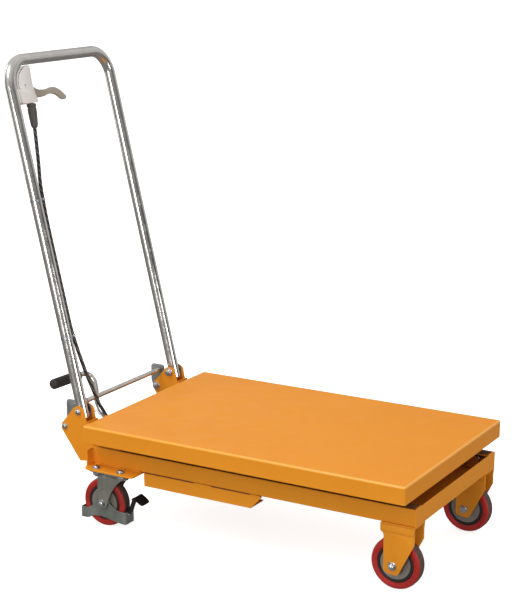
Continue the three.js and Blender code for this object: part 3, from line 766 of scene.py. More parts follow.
def area(name, loc, target, size, size_y, power, color=(1, 1, 1)):
    d = bpy.data.lights.new(name, "AREA")
    d.shape = "RECTANGLE"
    d.size, d.size_y = size, size_y
    d.energy = power
    d.color = color
    o = bpy.data.objects.new(name, d)
    bpy.context.scene.collection.objects.link(o)
    o.location = loc
    o.rotation_euler = (Vector(target) - Vector(loc)).to_track_quat("-Z", "Y").to_euler()
    return o


area("key_top", (-0.9, -1.7, 3.2), (0.05, 0, 0.15), 1.5, 1.5, 44, (1.0, 0.99, 0.97))
area("strip_left", (-2.6, -0.2, 1.2), (-0.4, 0, 0.5), 0.5, 2.4, 8)
area("fill_near", (0.3, -3.6, 0.75), (0.05, 0, 0.2), 0.9, 0.7, 27)
area("fill_front", (3.5, -0.7, 0.5), (0.4, 0, 0.15), 1.2, 0.6, 25)

world = bpy.data.worlds.new("studio")
bpy.context.scene.world = world
world.use_nodes = True
wt = world.node_tree
wt.nodes.clear()
wo = wt.nodes.new("ShaderNodeOutputWorld")
wb = wt.nodes.new("ShaderNodeBackground")
wt.links.new(wb.outputs[0], wo.inputs[0])
wc = wt.nodes.new("ShaderNodeTexCoord")
ws = wt.nodes.new("ShaderNodeSeparateXYZ")
wt.links.new(wc.outputs["Generated"], ws.inputs[0])
# soft panels round the room: a wave round the compass, brighter overhead
wa = wt.nodes.new("ShaderNodeMath")
wa.operation = "ARCTAN2"
wt.links.new(ws.outputs[1], wa.inputs[0])
wt.links.new(ws.outputs[0], wa.inputs[1])
wn = wt.nodes.new("ShaderNodeMapRange")
wn.inputs["From Min"].default_value = -pi
wn.inputs["From Max"].default_value = pi
wt.links.new(wa.outputs[0], wn.inputs["Value"])
wr = wt.nodes.new("ShaderNodeValToRGB")
wt.links.new(wn.outputs[0], wr.inputs[0])
stops = [(0.0, 0.9), (0.05, 0.95), (0.09, 0.25), (0.13, 0.22), (0.17, 1.0), (0.26, 1.0), (0.30, 0.35), (0.34, 0.30), (0.37, 0.60),
         (0.42, 0.32), (0.50, 0.12), (0.58, 0.14), (0.63, 0.8), (0.72, 1.0), (0.77, 0.30), (0.82, 0.26), (0.86, 0.95), (1.0, 0.9)]
el = wr.color_ramp.elements
while len(el) < len(stops):
    el.new(0.5)
for e, (p, v) in zip(el, stops):
    e.position = p
    e.color = (v, v, v * 0.99, 1)
wz = wt.nodes.new("ShaderNodeMapRange")
wz.inputs["From Min"].default_value = 0.15
wz.inputs["From Max"].default_value = 0.75
wt.links.new(ws.outputs[2], wz.inputs["Value"])
wm = wt.nodes.new("ShaderNodeMix")
wm.data_type = "RGBA"
wt.links.new(wz.outputs[0], wm.inputs[0])
wt.links.new(wr.outputs[0], wm.inputs[6])
wm.inputs[7].default_value = (1.0, 1.0, 1.0, 1)
wl = wt.nodes.new("ShaderNodeMapRange")
wl.inputs["From Min"].default_value = -0.02
wl.inputs["From Max"].default_value = -0.30
wt.links.new(ws.outputs[2], wl.inputs["Value"])
wk = wt.nodes.new("ShaderNodeMix")
wk.data_type = "RGBA"
wt.links.new(wl.outputs[0], wk.inputs[0])
wt.links.new(wm.outputs[2], wk.inputs[6])
wk.inputs[7].default_value = (0.34, 0.33, 0.32, 1)
wt.links.new(wk.outputs[2], wb.inputs[0])
wb.inputs[1].default_value = 0.80

# floor
bmf = bmesh.new()
bmesh.ops.create_circle(bmf, cap_ends=True, radius=70, segments=96)
floor = from_bm("studio_floor", bmf, None)
fm = Mat("studio_floor_paint")
fm.color(fm.mix(fm.value(fm.noise(0.7, 3), 0.0, 1.0, 0.3, 0.7), (0.93, 0.93, 0.925), (0.95, 0.95, 0.945)))
fm.rough(fm.value(fm.noise(4, 3), 0.75, 0.85))
fm.b.inputs["Emission Color"].default_value = (1, 1, 0.995, 1)
fm.b.inputs["Emission Strength"].default_value = 0.75
fm.b.inputs["Specular IOR Level"].default_value = 0.1
floor.data.materials.clear()
floor.data.materials.append(fm.m)
floor.location.z = -0.0004
floor.visible_diffuse = False
floor.visible_glossy = False
floor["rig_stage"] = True


# =====================================================================
# deck
# =====================================================================
def rrect(hx, hy, r, k=7):
    pts = []
    for cx, cy, a0 in ((hx - r, hy - r, 0), (-hx + r, hy - r, pi / 2), (-hx + r, -hy + r, pi), (hx - r, -hy + r, 3 * pi / 2)):
        for i in range(k + 1):
            a = a0 + i / k * pi / 2
            pts.append((cx + r * cos(a), cy + r * sin(a)))
    return pts


def deck():
    r = 3.6
    prof = [(2.6, 185.0), (0.9, 185.0), (0.25, 185.25), (0.0, 185.9), (0.0, 187.0), (0.0, 215.2), (0.0, 220 - r)]
    for k in range(1, 8):
        a = k / 7 * pi / 2
        prof.append((r - r * cos(a), 220 - r + r * sin(a)))
    prof.append((r + 1.4, 220.0))
    inner = [(5.5, 217.0), (4.2, 216.6), (3.3, 215.6), (3.0, 214.2), (3.0, 187.0), (3.0, 185.9), (2.9, 185.3)]
    bm = bmesh.new()
    rings = []
    for off, z in prof:
        rings.append([bm.verts.new(P(x, y, z)) for x, y in rrect(350 - off, 225 - off, max(4.2 - off * 0.55, 1.2))])
    # the four corners are closed by a ground weld that stands a hair proud
    for ring, (off, z) in zip(rings, prof):
        for v in ring:
            lx, ly = v.co.x - SHIFT, v.co.y
            d = sqrt((abs(lx) - 0.350) ** 2 + (abs(ly) - 0.225) ** 2) * 1000
            if d < 7 and z < 219.9 and z > 188:
                v.co += Vector((math.copysign(1, lx), math.copysign(1, ly), 0)) * 0.00006 * (1 + sin(z * 2.1))
    under = []
    for off, z in inner:
        under.append([bm.verts.new(P(x, y, z)) for x, y in rrect(350 - off, 225 - off, 1.4)])
    n = len(rings[0])
    for a, b in zip(rings, rings[1:]):
        for i in range(n):
            bm.faces.new([a[i], a[(i + 1) % n], b[(i + 1) % n], b[i]])
    bm.faces.new(rings[-1])
    for a, b in zip(under, under[1:]):
        for i in range(n):
            bm.faces.new([a[i], a[(i + 1) % n], b[(i + 1) % n], b[i]])
    bm.faces.new(under[0][::-1])
    for i in range(n):
        bm.faces.new([under[-1][i], under[-1][(i + 1) % n], rings[0][(i + 1) % n], rings[0][i]])
    o = from_bm("deck_tray", bm, ORANGE, [ORANGE_PAINTED_SHADE, ORANGE_PAINTED_HIGHLIGHT])
    lim = P(0, 0, 217.2).z
    for p in o.data.polygons:
        c = p.center
        # the deck's underside and inner skirt faces take the darker orange as painted shade
        if (p.normal.z < -0.5 and c.z > 0.2) or (p.normal.z < 0.5 and c.z < lim and abs(c.x - SHIFT) < 0.3472 and abs(c.y) < 0.2222):
            p.material_index = 1
        # the rounded top edge takes the lighter, glossier orange as a painted highlight
        elif 0.2165 < c.z and 0.12 < p.normal.z < 0.995:
            p.material_index = 2
    return smooth(o, 40)


put(deck(), "platform", "platform_deck")
for side, s in SIDES:
    # the lugs, their welds and the roller guides under the deck take the darker orange as painted shade
    finish_cad("platform_lug_" + side, ORANGE_PAINTED_SHADE, 0.7)
    lw = join("deck_lug_welds_" + side, [
        weld("w", [P(-305, s * 158.6, 216.8), P(-275, s * 158.6, 216.8)], 1.8, ORANGE_PAINTED_SHADE, 3),
        weld("w", [P(-305, s * 165.4, 216.8), P(-275, s * 165.4, 216.8)], 1.8, ORANGE_PAINTED_SHADE, 4)])
    put(lw, "platform")
    # guide angle that keeps the upper rollers under the deck
    g = prism("deck_roller_guide_" + side, [(s * 172.5, 216.9), (s * 172.5, 199), (s * 174.7, 199), (s * 174.7, 214.7), (s * 190, 214.7), (s * 190, 216.9)],
              -10, 338, YZ, ORANGE_PAINTED_SHADE, 0.5)
    put(g, "platform")

# =====================================================================
# base frame
# =====================================================================
for side, s in SIDES:
    prof = rounded([(186.7, 132, 2.2), (186.7, 166, 2.6), (157, 166, 0.7), (157, 163, 0.7), (183.7, 163, 1.2), (183.7, 135, 1.2), (157, 135, 0.7), (157, 132, 0.7)], 6)
    rail = prism("rail_channel_" + side, [(s * y, z) for y, z in prof], -351.7, 351.7, YZ, ORANGE, 0.45, 2, 40)
    # the roller track's top flange, but for its rear end, is painted dark brown as the shadow the deck casts on it
    bm = bmesh.new()
    bm.from_mesh(rail.data)
    bmesh.ops.bisect_plane(bm, geom=bm.verts[:] + bm.edges[:] + bm.faces[:], plane_co=P(-292, 0, 0), plane_no=(1, 0, 0))
    for f in bm.faces:
        if f.normal.z > 0.9 and f.calc_center_median().z > 0.1655 and f.calc_center_median().x > P(-291, 0, 0).x:
            f.material_index = 1
    bm.to_mesh(rail.data)
    bm.free()
    rail.data.materials.append(ORANGE_PAINTED_SHADOW)
    put(rail, "base", "base_rail_" + side)
    finish_cad("skirt_plate_" + side, ORANGE, 0.9, 3)
    finish_cad("caster_shelf_" + side, ORANGE, 1.0, 4)
    beads = [
        # shelf to rail
        weld("w", [P(-352, s * 187.4, 132.2), P(-240, s * 187.4, 132.2)], 1.7, ORANGE, 10 + s),
        # end plate to rail
        weld("w", [P(-352.5, s * 187.4, 133), P(-352.5, s * 187.4, 162)], 1.6, ORANGE, 12 + s),
        weld("w", [P(-352.6, s * 190, 132.3), P(-352.6, s * 205, 132.3)], 1.5, ORANGE, 14 + s),
        # front corner, ground nearly flush
        weld("w", [P(351.9, s * 186.0, 134.5), P(351.9, s * 186.0, 163.5)], 1.15, ORANGE, 16 + s, 3.5),
        weld("w", [P(351.9, s * 182, 165.7), P(351.9, s * 160, 165.7)], 1.0, ORANGE, 18 + s, 3.5),
        # skirt to rail: a seal run behind the stitches, painted dark brown as the shadow in the gap between them
        tube("w", [P(-228, s * 186.9, 131.75), P(-60, s * 186.9, 131.75), P(35, s * 186.9, 131.75)], 1.7, ORANGE_PAINTED_SHADOW, 10),
        # skirt to rail, stitched
        weld("w", [P(-115, s * 188.2, 131.9), P(-75, s * 188.2, 131.9)], 1.3, ORANGE, 22 + s),
        weld("w", [P(12, s * 188.0, 131.9), P(33, s * 188.0, 131.9)], 1.2, ORANGE, 24 + s),
    ]
    put(join("frame_welds_" + side, beads), "base")
finish_cad("front_crossmember", ORANGE, 1.1, 4)
finish_cad("rear_crossmember", ORANGE, 1.1, 4)
# the cylinder beam under the deck takes the darker orange as painted shade
finish_cad("cylinder_beam", ORANGE_PAINTED_SHADE, 0.9, 3)
finish_cad("base_pivot_shaft", BOLT, 0.6, 2)

# =====================================================================
# scissor arms, rollers, pins
# =====================================================================
for side, s in SIDES:
    # the scissor arms, their cross tubes and tube welds take the darker orange as painted shade
    finish_cad("inner_arm_" + side, ORANGE_PAINTED_SHADE, 0.8, 3)
    finish_cad("outer_arm_" + side, ORANGE_PAINTED_SHADE, 0.8, 3)
    # centre pin cap with its retaining clip, on the inner arm
    y = s * 159.8
    cap = join("scissor_pin_cap_" + side, [
        washer("c", 9.2, 1.6, BOLT, IA(307.5, s * 159.7), (0, s, 0)),
        hexagon("h", 7.2, 4.0, BOLT, IA(307.5, s * 161.2), (0, s, 0), turn=0.3)])
    put(cap, "inner_arms")
    for body, node, where, y0 in (("lower_roller", "lower_roller_", OA(615, 0), 158.5), ("upper_roller", "upper_roller_", IA(615, 0), 148.5)):
        at = Vector((where.x, 0, where.z))
        h = 10
        prof = [(6.4, -h), (8.6, -h), (9.0, -h + 0.8), (11.2, -h + 0.8), (11.8, -h), (12.4, -h), (13, -h + 0.7), (13, h - 0.7), (12.4, h),
                (11.8, h), (11.2, h - 0.8), (9.0, h - 0.8), (8.6, h), (6.4, h)]
        o = lathe(body + "_turned_" + side, prof, 64, BOLT, centre=at + Vector((0, s * (y0 + 10) / 1000, 0)))
        put(o, f"{body}_{side}", node + side)
finish_cad("inner_arm_tube", ORANGE_PAINTED_SHADE, 0.4, 2)
finish_cad("outer_arm_tube", ORANGE_PAINTED_SHADE, 0.8, 3)
tw = []
for side, s in SIDES:
    for k, (fn, st, yy, rr) in enumerate(((IA, 575, 139.6, 10.2), (OA, 590, 149.6, 11.2))):
        ring = [fn(st + rr * cos(a), s * yy, rr * sin(a)) for a in [i / 20 * 2 * pi for i in range(21)]]
        o = weld("w", ring, 1.5, ORANGE_PAINTED_SHADE, 40 + k)
        put(o, "inner_arms" if fn is IA else "outer_arms")
        o.name = f"tube_weld_{k}_{side}"

# =====================================================================
# wheels
# =====================================================================
def wheel(tag, at, half, body, node_tyre, node_hub, hub_half, swing=1):
    """Tyre, the black ring moulded round the rim, and the grey centre, all turned about the axle."""
    w = half
    prof = [(36.3, -w + 2.4), (37.2, -w + 1.5), (39.5, -w + 1.0), (44.5, -w + 0.35), (46.2, -w + 0.6), (47.8, -w + 1.7), (49.0, -w + 3.3), (49.7, -w + 5.2), (50, -w + 7.6),
            (50, 0), (50, w - 7.6), (49.7, w - 5.2), (49.0, w - 3.3), (47.8, w - 1.7), (46.2, w - 0.6), (44.5, w - 0.35), (39.5, w - 1.0), (37.2, w - 1.5), (36.3, w - 2.4)]
    fmats = [0] * len(prof)
    for j, ((r0, a0), (r1, a1)) in enumerate(zip(prof, prof[1:])):
        if min(r0, r1) >= 48.9:
            fmats[j] = 1
    t = lathe("tyre_" + tag, prof, 112, TYRE, centre=at, mats=[TREAD], face_mat=fmats)
    put(t, body, node_tyre)
    c = w - 0.4
    ring = [(30.6, -c + 1.4), (31.4, -c + 0.5), (32.6, -c), (34.6, -c), (35.6, -c + 0.6), (36.2, -c + 1.8), (36.2, c - 1.8), (35.6, c - 0.6), (34.6, c), (32.6, c), (31.4, c - 0.5), (30.6, c - 1.4)]
    rg = lathe("rim_ring_" + tag, ring, 96, BLACK_RING, centre=at)
    put(rg, body)
    d = w - 1.6
    h = hub_half
    prof = [(6.7, -h), (10.5, -h), (11.6, -h + 0.6), (12.2, -h + 1.8), (12.8, -d + 2.4), (14.5, -d + 1.6), (24.5, -d + 0.8), (26.5, -d + 0.4), (28.5, -d), (30.0, -d), (30.5, -d + 0.6), (30.5, d - 0.6),
            (30.0, d), (28.5, d), (26.5, d - 0.4), (24.5, d - 0.8), (14.5, d - 1.6), (12.8, d - 2.4), (12.2, h - 1.8), (11.6, h - 0.6), (10.5, h), (6.7, h)]
    hb = lathe("hub_" + tag, prof, 96, HUB, centre=at)
    parts = [hb]
    for sgn in (-1, 1):
        # dust cap rim and moulded ribs inside the dish
        parts.append(lathe("r", [(17.4, sgn * (d - 1.6)), (17.8, sgn * (d - 0.7)), (18.8, sgn * (d - 0.7)), (19.2, sgn * (d - 1.4))], 72, HUB, centre=at))
        for k in range(8):
            a = k / 8 * 2 * pi + 0.2
            rib = prism("rib", [(19.2, -0.8), (25.5, -0.8), (25.5, 0.8), (19.2, 0.8)], sgn * (d - 1.8), sgn * (d - 0.45),
                        lambda u, v, w_, a=a: at + Vector(((u * cos(a) - v * sin(a)) / 1000, w_ / 1000, (u * sin(a) + v * cos(a)) / 1000)), HUB, 0.25, 2)
            parts.append(rib)
    put(join("wheel_centre_" + tag, parts), body, node_hub)


for side, s in SIDES:
    at = P(310, s * 163, 50)
    wheel("front_" + side, at, 13, "front_wheel_" + side, "front_tyre_" + side, "front_hub_" + side, 13.6)
    ca = P(-332, s * 172, 50)
    wheel("caster_" + side, ca, 12.3, "caster_wheel_" + side, "caster_tyre_" + side, "caster_hub_" + side, 12.0)

# =====================================================================
# front forks and axles
# =====================================================================
cheek = rounded([(288, 129, 0), (288, 116, 0), (291.5, 108, 4), (292, 36.5, 8), (320, 31.5, 9), (353, 98, 3), (353, 129, 0)], 6)
for side, s in SIDES:
    parts = []
    for y0, y1 in ((185, 188), (144, 147)):
        parts.append(prism("c", cheek, s * y0, s * y1, XZ, ORANGE, 0.7, 3))
    # saddle: pressed cap over both cheeks, with rolled lower edges
    parts.append(block("s", 285.5, 354.2, *sorted((s * 142.6, s * 189.6)), 128.4, 131.6, ORANGE, 1.1, 4))
    parts.append(prism("s", rounded([(285.5, 130.5, 0), (285.5, 115.6, 2), (352.2, 115.6, 2), (353.8, 130.5, 0)], 4), s * 187.9, s * 189.6, XZ, ORANGE, 0.6, 3))
    parts.append(prism("s", rounded([(285.5, 130.5, 0), (285.5, 115.6, 2), (352.2, 115.6, 2), (353.8, 130.5, 0)], 4), s * 142.6, s * 144.2, XZ, ORANGE, 0.6, 3))
    parts.append(prism("b", rounded([(285.5, 131.5, 1), (285.5, 114.5, 3.2), (289.0, 110.5, 1.5), (290.5, 116, 0), (290.5, 131.5, 0)], 4), s * 144, s * 187, XZ, ORANGE, 0.5))
    for yy in (188.3, 143.7):
        parts.append(weld("w", [P(290, s * yy, 115.4), P(352, s * yy, 115.4)], 1.1, ORANGE, 50 + s, 3.0))
    parts.append(weld("w", [P(288, s * 189.0, 131.9), P(351, s * 189.0, 131.9)], 1.2, ORANGE, 52 + s, 2.6))
    put(join("front_fork_pressing_" + side, parts), "base", "front_fork_" + side)
    ax = []
    ax.append(lathe("a", [(0, 137.5), (6, 137.5), (6, 188.5), (0, 188.5)], 40, BOLT, centre=P(310, 0, 50), closed=False) if s > 0 else
              lathe("a", [(0, -188.5), (6, -188.5), (6, -137.5), (0, -137.5)], 40, BOLT, centre=P(310, 0, 50), closed=False))
    # spacers either side of the hub
    for y0, y1 in ((147.3, 148.7), (177.3, 184.7)):
        ax.append(lathe("sp", [(6.2, s * y0), (9.3, s * y0), (9.5, s * (y0 + 0.4)), (9.5, s * (y1 - 0.4)), (9.3, s * y1), (6.2, s * y1)], 48, BOLT, centre=P(310, 0, 50)))
    # outer end: washer, nut and a polished cap; inner end: hex head
    ax.append(washer("w", 8.4, 1.2, BOLT, P(310, s * 188.05, 50), (0, s, 0)))
    ax.append(hexagon("n", 7.4, 4.2, BOLT, P(310, s * 189.2, 50), (0, s, 0), turn=0.35))
    dome = [(0, 0), (5.6, 0)] + [(5.6 * cos(k / 8 * pi / 2), 3.6 * sin(k / 8 * pi / 2)) for k in range(1, 8)] + [(0, 3.6)]
    dm = lathe("d", dome, 48, CHROME, axis=axis_matrix((0, s, 0)), closed=False)
    dm.data.transform(Matrix.Translation(P(310, s * 193.0, 50)))
    ax.append(dm)
    ax.append(washer("w", 7.8, 1.2, BOLT, P(310, s * 143.95, 50), (0, -s, 0)))
    ax.append(hexagon("n", 6.8, 5.0, BOLT, P(310, s * 142.8, 50), (0, -s, 0), turn=0.8))
    put(join("front_axle_turned_" + side, ax), "base", "front_axle_" + side)

# =====================================================================
# swivel casters
# =====================================================================
def strip_interp(table, x):
    for (x0, z0), (x1, z1) in zip(table, table[1:]):
        if x0 <= x <= x1:
            t = (x - x0) / (x1 - x0)
            return z0 + (z1 - z0) * t
    return table[0][1] if x < table[0][0] else table[-1][1]


def smooth_table(table, step=1.5, passes=7):
    xs = []
    x = table[0][0]
    while x < table[-1][0]:
        xs.append(x)
        x += step
    xs.append(table[-1][0])
    zs = [strip_interp(table, x) for x in xs]
    for _ in range(passes):
        zs = [zs[0]] + [(zs[i - 1] + 2 * zs[i] + zs[i + 1]) / 4 for i in range(1, len(zs) - 1)] + [zs[-1]]
    return list(zip(xs, zs))


def pressed_cheek(name, outline, y_in, t, out_sign, mat, lift):
    """A sheet cut to outline in X and Z; lift(x, z) presses it outward; t is its thickness in mm."""
    bm = bmesh.new()
    base = [bm.verts.new((x, 0, z)) for x, z in outline]
    f = bm.faces.new(base)
    bmesh.ops.triangulate(bm, faces=[f])
    for _ in range(4):
        long = [e for e in bm.edges if e.calc_length() > 5.0]
        if not long:
            break
        bmesh.ops.subdivide_edges(bm, edges=long, cuts=1)
        bmesh.ops.triangulate(bm, faces=[g for g in bm.faces if len(g.verts) > 3])
    bmesh.ops.beautify_fill(bm, faces=bm.faces[:], edges=[e for e in bm.edges if not e.is_boundary])
    inner = {}
    outer_pos = {}
    for v in list(bm.verts):
        y = y_in + lift(v.co.x, v.co.z)
        outer_pos[v] = (y + t)
        inner[v] = y
    faces = [[v for v in g.verts] for g in bm.faces]
    bound = [e.verts[:] for e in bm.edges if e.is_boundary]
    idx = {v: i for i, v in enumerate(bm.verts)}
    vs_ = list(bm.verts)
    verts = [(v.co.x, out_sign * inner[v], v.co.z) for v in vs_] + [(v.co.x, out_sign * outer_pos[v], v.co.z) for v in vs_]
    n = len(vs_)
    fs = [[idx[v] for v in g] for g in faces] + [[idx[v] + n for v in reversed(g)] for g in faces]
    fs += [[idx[a], idx[b], idx[b] + n, idx[a] + n] for a, b in bound]
    bm.free()
    me = bpy.data.meshes.new(name)
    me.from_pydata(verts, [], fs)
    bm = bmesh.new()
    bm.from_mesh(me)
    bmesh.ops.recalc_face_normals(bm, faces=bm.faces[:])
    bm.to_mesh(me)
    bm.free()
    o = bpy.data.objects.new(name, me)
    bpy.context.scene.collection.objects.link(o)
    me.materials.append(mat)
    smooth(o, 36)
    return o


def local(o, x, y, z=0.0):
    o.data.transform(Matrix.Translation(P(x, y, z)) @ Matrix.Scale(0.001, 4))
    return o


for side, s in SIDES:
    cx, cy = -302, s * 172
    # --- fixed plate, race and bolts, on the base
    pl = prism("plate", rounded([(cx - 43, cy - 46, 7), (cx + 43, cy - 46, 7), (cx + 43, cy + 46, 7), (cx - 43, cy + 46, 7)], 5), 124.4, 127.5, XY, BOLT, 0.7, 3)
    race = lathe("race", [(0, 117.6), (22, 117.6), (25.4, 118.2), (27.0, 119.4), (27.4, 121.2), (27.0, 122.6), (25.6, 124.0), (25.0, 124.6), (0, 124.6)], 96, BOLT, axis="Z", centre=P(cx, cy, 0), closed=False)
    parts = [pl, race]
    for bx in (-28, 30):
        for by in (-37, 37):
            at = P(cx + bx, cy + s * by, 131.7)
            if abs(cy + s * by) > 190 and by > 0:
                parts += [washer("w", 9.0, 1.3, BOLT, at, (0, 0, 1)), dome_bolt("b", at + Vector((0, 0, 0.0012)), (0, 0, 1), 6.8, 4.4)]
            else:
                parts += [washer("w", 9.0, 1.3, BOLT, at, (0, 0, 1)), hexagon("b", 7.4, 4.6, BOLT, at + Vector((0, 0, 0.0012)), (0, 0, 1), turn=random.random())]
            parts += nut_stack("n", P(cx + bx, cy + s * by, 124.4), (0, 0, -1), 7.6, 5.4, 3.9, 2.0, 8.8)
    put(join("caster_top_" + side, parts), "base", "caster_plate_" + side)

    # --- fork
    outline = rounded([(-38, 112.5, 0), (-38, 43.2, 9), (-21, 39.2, 9), (-15.7, 55.6, 10), (-8.6, 74, 10), (3, 91.7, 8), (17, 106, 6), (33, 109.5, 1), (33.5, 112.5, 0)], 6)
    step = lambda v, a, b: max(0.0, min(1.0, (v - a) / (b - a)))
    sm = lambda t: t * t * (3 - 2 * t)

    def lift(x, z):
        left = 1 - sm(step(x, -24.5, -20.5))          # pressed rib behind the crease
        fade = sm(step(z, 56, 74))
        roll = sm(step(z, 103, 112.5))                  # leans in under the crown
        edge = sm(step(x, 8, 30)) * sm(step(z, 84, 104))  # gusset flares inward
        return 1.5 * left * fade - 1.6 * roll - 1.2 * edge
    fparts = []
    for sg in (-1, 1):
        ck = pressed_cheek("cheek", outline, 17.2, 2.7, sg, GREY, lift)
        local(ck, cx, cy)
        fparts.append(ck)
    crown = rounded([(-38, -18.2, 3), (16, -18.2, 12), (33, -12, 6), (33, 12, 6), (16, 18.2, 12), (-38, 18.2, 3)], 6)
    cr = prism("crown", [(cx + x, cy + y) for x, y in crown], 111.8, 115.4, XY, GREY, 1.5, 4)
    fparts.append(cr)
    boss = lathe("boss", [(0, 106.4), (12, 106.4), (19.5, 107.4), (21.6, 109.0), (22.4, 111.2), (23.4, 114.0), (25.6, 115.6), (26.2, 116.8), (0, 116.8)], 80, GREY, axis="Z", centre=P(cx, cy, 0), closed=False)
    rg2 = lathe("race2", [(24.5, 115.2), (26.6, 115.4), (27.2, 116.3), (26.6, 117.2), (24.5, 117.4)], 96, BOLT, axis="Z", centre=P(cx, cy, 0))
    kp = hexagon("king", 9.5, 5.5, BOLT, P(cx, cy, 106.6), (0, 0, -1), turn=0.4)
    fparts += [boss, rg2, kp]
    fo = join("caster_fork_pressing_" + side, fparts)
    put(fo, "caster_" + side, "caster_fork_" + side)
    # --- axle with polished dome ends
    ax = [lathe("a", [(0, -24), (6, -24), (6, 24), (0, 24)], 36, BOLT, centre=P(cx - 30, cy, 50), closed=False)]
    for sg in (-1, 1):
        at = P(cx - 30, cy + sg * 20.0, 50)
        ax.append(washer("w", 7.6, 1.2, BOLT, at, (0, sg, 0)))
        ax.append(dome_bolt("d", at + Vector((0, sg * 0.0011, 0)), (0, sg, 0), 5.6, 4.6, CHROME, socket=False))
    put(join("caster_axle_turned_" + side, ax), "caster_" + side, "caster_axle_" + side)

    # --- brake band: one strip bent round the wheel, its height changing along it
    top = smooth_table([(-84, 33.4), (-66, 33.8), (-58, 39), (-48, 50), (-40, 58), (-20, 57), (-16, 52), (2, 40), (12, 38.5), (25, 38)])
    bot = smooth_table([(-84, 11), (-66, 12), (-58, 17), (-53, 20), (-33, 21), (-9, 17), (10, 13.7), (25, 12.7)])
    x0, x1, hw, t, rc = -85.5, 25, 15.8, 2.2, 4.5
    loop_o, loop_i = [], []
    def corner(cxx, cyy, a0, r):
        return [(cxx + r * cos(a0 + k / 6 * pi / 2), cyy + r * sin(a0 + k / 6 * pi / 2)) for k in range(7)]
    def ringpts(inset):
        r = rc - inset
        X0, X1, H = x0 + inset, x1 - inset, hw - inset
        pts = corner(X1 - r, H - r, 0, r)
        xs = [X1 - r - (X1 - X0 - 2 * r) * k / 60 for k in range(1, 60)]
        pts += [(x, H) for x in xs]
        pts += corner(X0 + r, H - r, pi / 2, r)
        pts += [(X0, H - r - (2 * H - 2 * r) * k / 6) for k in range(1, 6)]
        pts += corner(X0 + r, -H + r, pi, r)
        pts += [(x, -H) for x in reversed(xs)]
        pts += corner(X1 - r, -H + r, 3 * pi / 2, r)
        pts += [(X1, -H + r + (2 * H - 2 * r) * k / 6) for k in range(1, 6)]
        return pts
    po, pi_ = ringpts(0), ringpts(t)
    verts, faces = [], []
    N = len(po)
    for pts in (po, pi_):
        for x, y in pts:
            verts.append(P(cx + x, cy + y, strip_interp(bot, x)))
            verts.append(P(cx + x, cy + y, strip_interp(top, x)))
    for i in range(N):
        j = (i + 1) % N
        o0, o1, p0, p1 = 2 * i, 2 * j, 2 * N + 2 * i, 2 * N + 2 * j
        faces += [[o0, o1, o1 + 1, o0 + 1], [p1, p0, p0 + 1, p1 + 1], [o0 + 1, o1 + 1, p1 + 1, p0 + 1], [o1, o0, p0, p1]]
    band = new_obj("band", verts, faces, GREY_DARK)
    bm = bmesh.new()
    bm.from_mesh(band.data)
    bmesh.ops.recalc_face_normals(bm, faces=bm.faces[:])
    bm.to_mesh(band.data)
    bm.free()
    smooth(band, 40)
    bevel(band, 0.5, 3, 50)
    put(band, "caster_brake_" + side, "brake_band_" + side)
    band.name = "brake_band_strip_" + side
    # toe pedal: a bent plate with raised treads, on the front end of the band
    path = catmull([Vector(p) for p in ((24, 30, 0), (27, 38, 0), (31, 49, 0), (36, 62, 0), (39.6, 70, 0), (44, 72, 0), (54, 66.5, 0), (63.5, 60, 0))], 6)
    widths = []
    total = len(path) - 1
    for i in range(len(path)):
        u = i / total
        w = 8.5 + 7.0 * sm(step(u, 0.42, 0.62))
        e = step(u, 0.86, 1.0)
        w -= 5.0 * (1 - sqrt(max(0.0, 1 - e * e)))
        widths.append(w)
    verts, faces = [], []
    cols = 9
    for i, p in enumerate(path):
        a, b = path[max(i - 1, 0)], path[min(i + 1, total)]
        tg = (b - a).normalized()
        nx, nz = -tg.y, tg.x
        for k in range(cols):
            v = -1 + 2 * k / (cols - 1)
            sag = 0.9 * (1 - v * v) * sm(step(i / total, 0.5, 0.7))
            for off in (1.15, -1.15):
                verts.append(P(cx + p.x + nx * (off - sag), cy + v * widths[i], p.y + nz * (off - sag)))
    R = cols * 2
    for i in range(total):
        for k in range(cols - 1):
            for off, fl in ((0, False), (1, True)):
                q = [i * R + 2 * k + off, i * R + 2 * k + 2 + off, (i + 1) * R + 2 * k + 2 + off, (i + 1) * R + 2 * k + off]
                faces.append(q[::-1] if fl else q)
        for k in (0, cols - 1):
            faces.append([i * R + 2 * k, (i + 1) * R + 2 * k, (i + 1) * R + 2 * k + 1, i * R + 2 * k + 1])
    for i in (0, total):
        for k in range(cols - 1):
            faces.append([i * R + 2 * k, i * R + 2 * k + 2, i * R + 2 * k + 3, i * R + 2 * k + 1])
    tp = new_obj("toe", verts, faces, BLACKPAINT)
    bm = bmesh.new()
    bm.from_mesh(tp.data)
    bmesh.ops.recalc_face_normals(bm, faces=bm.faces[:])
    bm.to_mesh(tp.data)
    bm.free()
    smooth(tp, 45)
    bevel(tp, 0.6, 3, 50)
    ribs = [tp]
    for k, (u, wv) in enumerate(((0.72, 11.0), (0.79, 11.4), (0.86, 11.0), (0.92, 10.0))):
        p = path[int(u * total)]
        q = path[int(u * total) + 1]
        tg = (q - p).normalized()
        c = P(cx + p.x - tg.y * 0.75, cy, p.y + tg.x * 0.75)
        ribs.append(tube("rib", [c + Vector((0, -wv / 1000, 0)), c + Vector((0, wv / 1000, 0))], 1.0, BLACKPAINT, 12))
    # rivets that hold it to the band
    for yy in (-6, 6):
        ribs.append(dome_bolt("rv", P(cx + 25.1, cy + yy, 33.5), (1, 0, 0.35), 2.8, 1.6, BOLT, socket=False))
    put(join("brake_toe_pedal_" + side, ribs), "caster_brake_" + side)

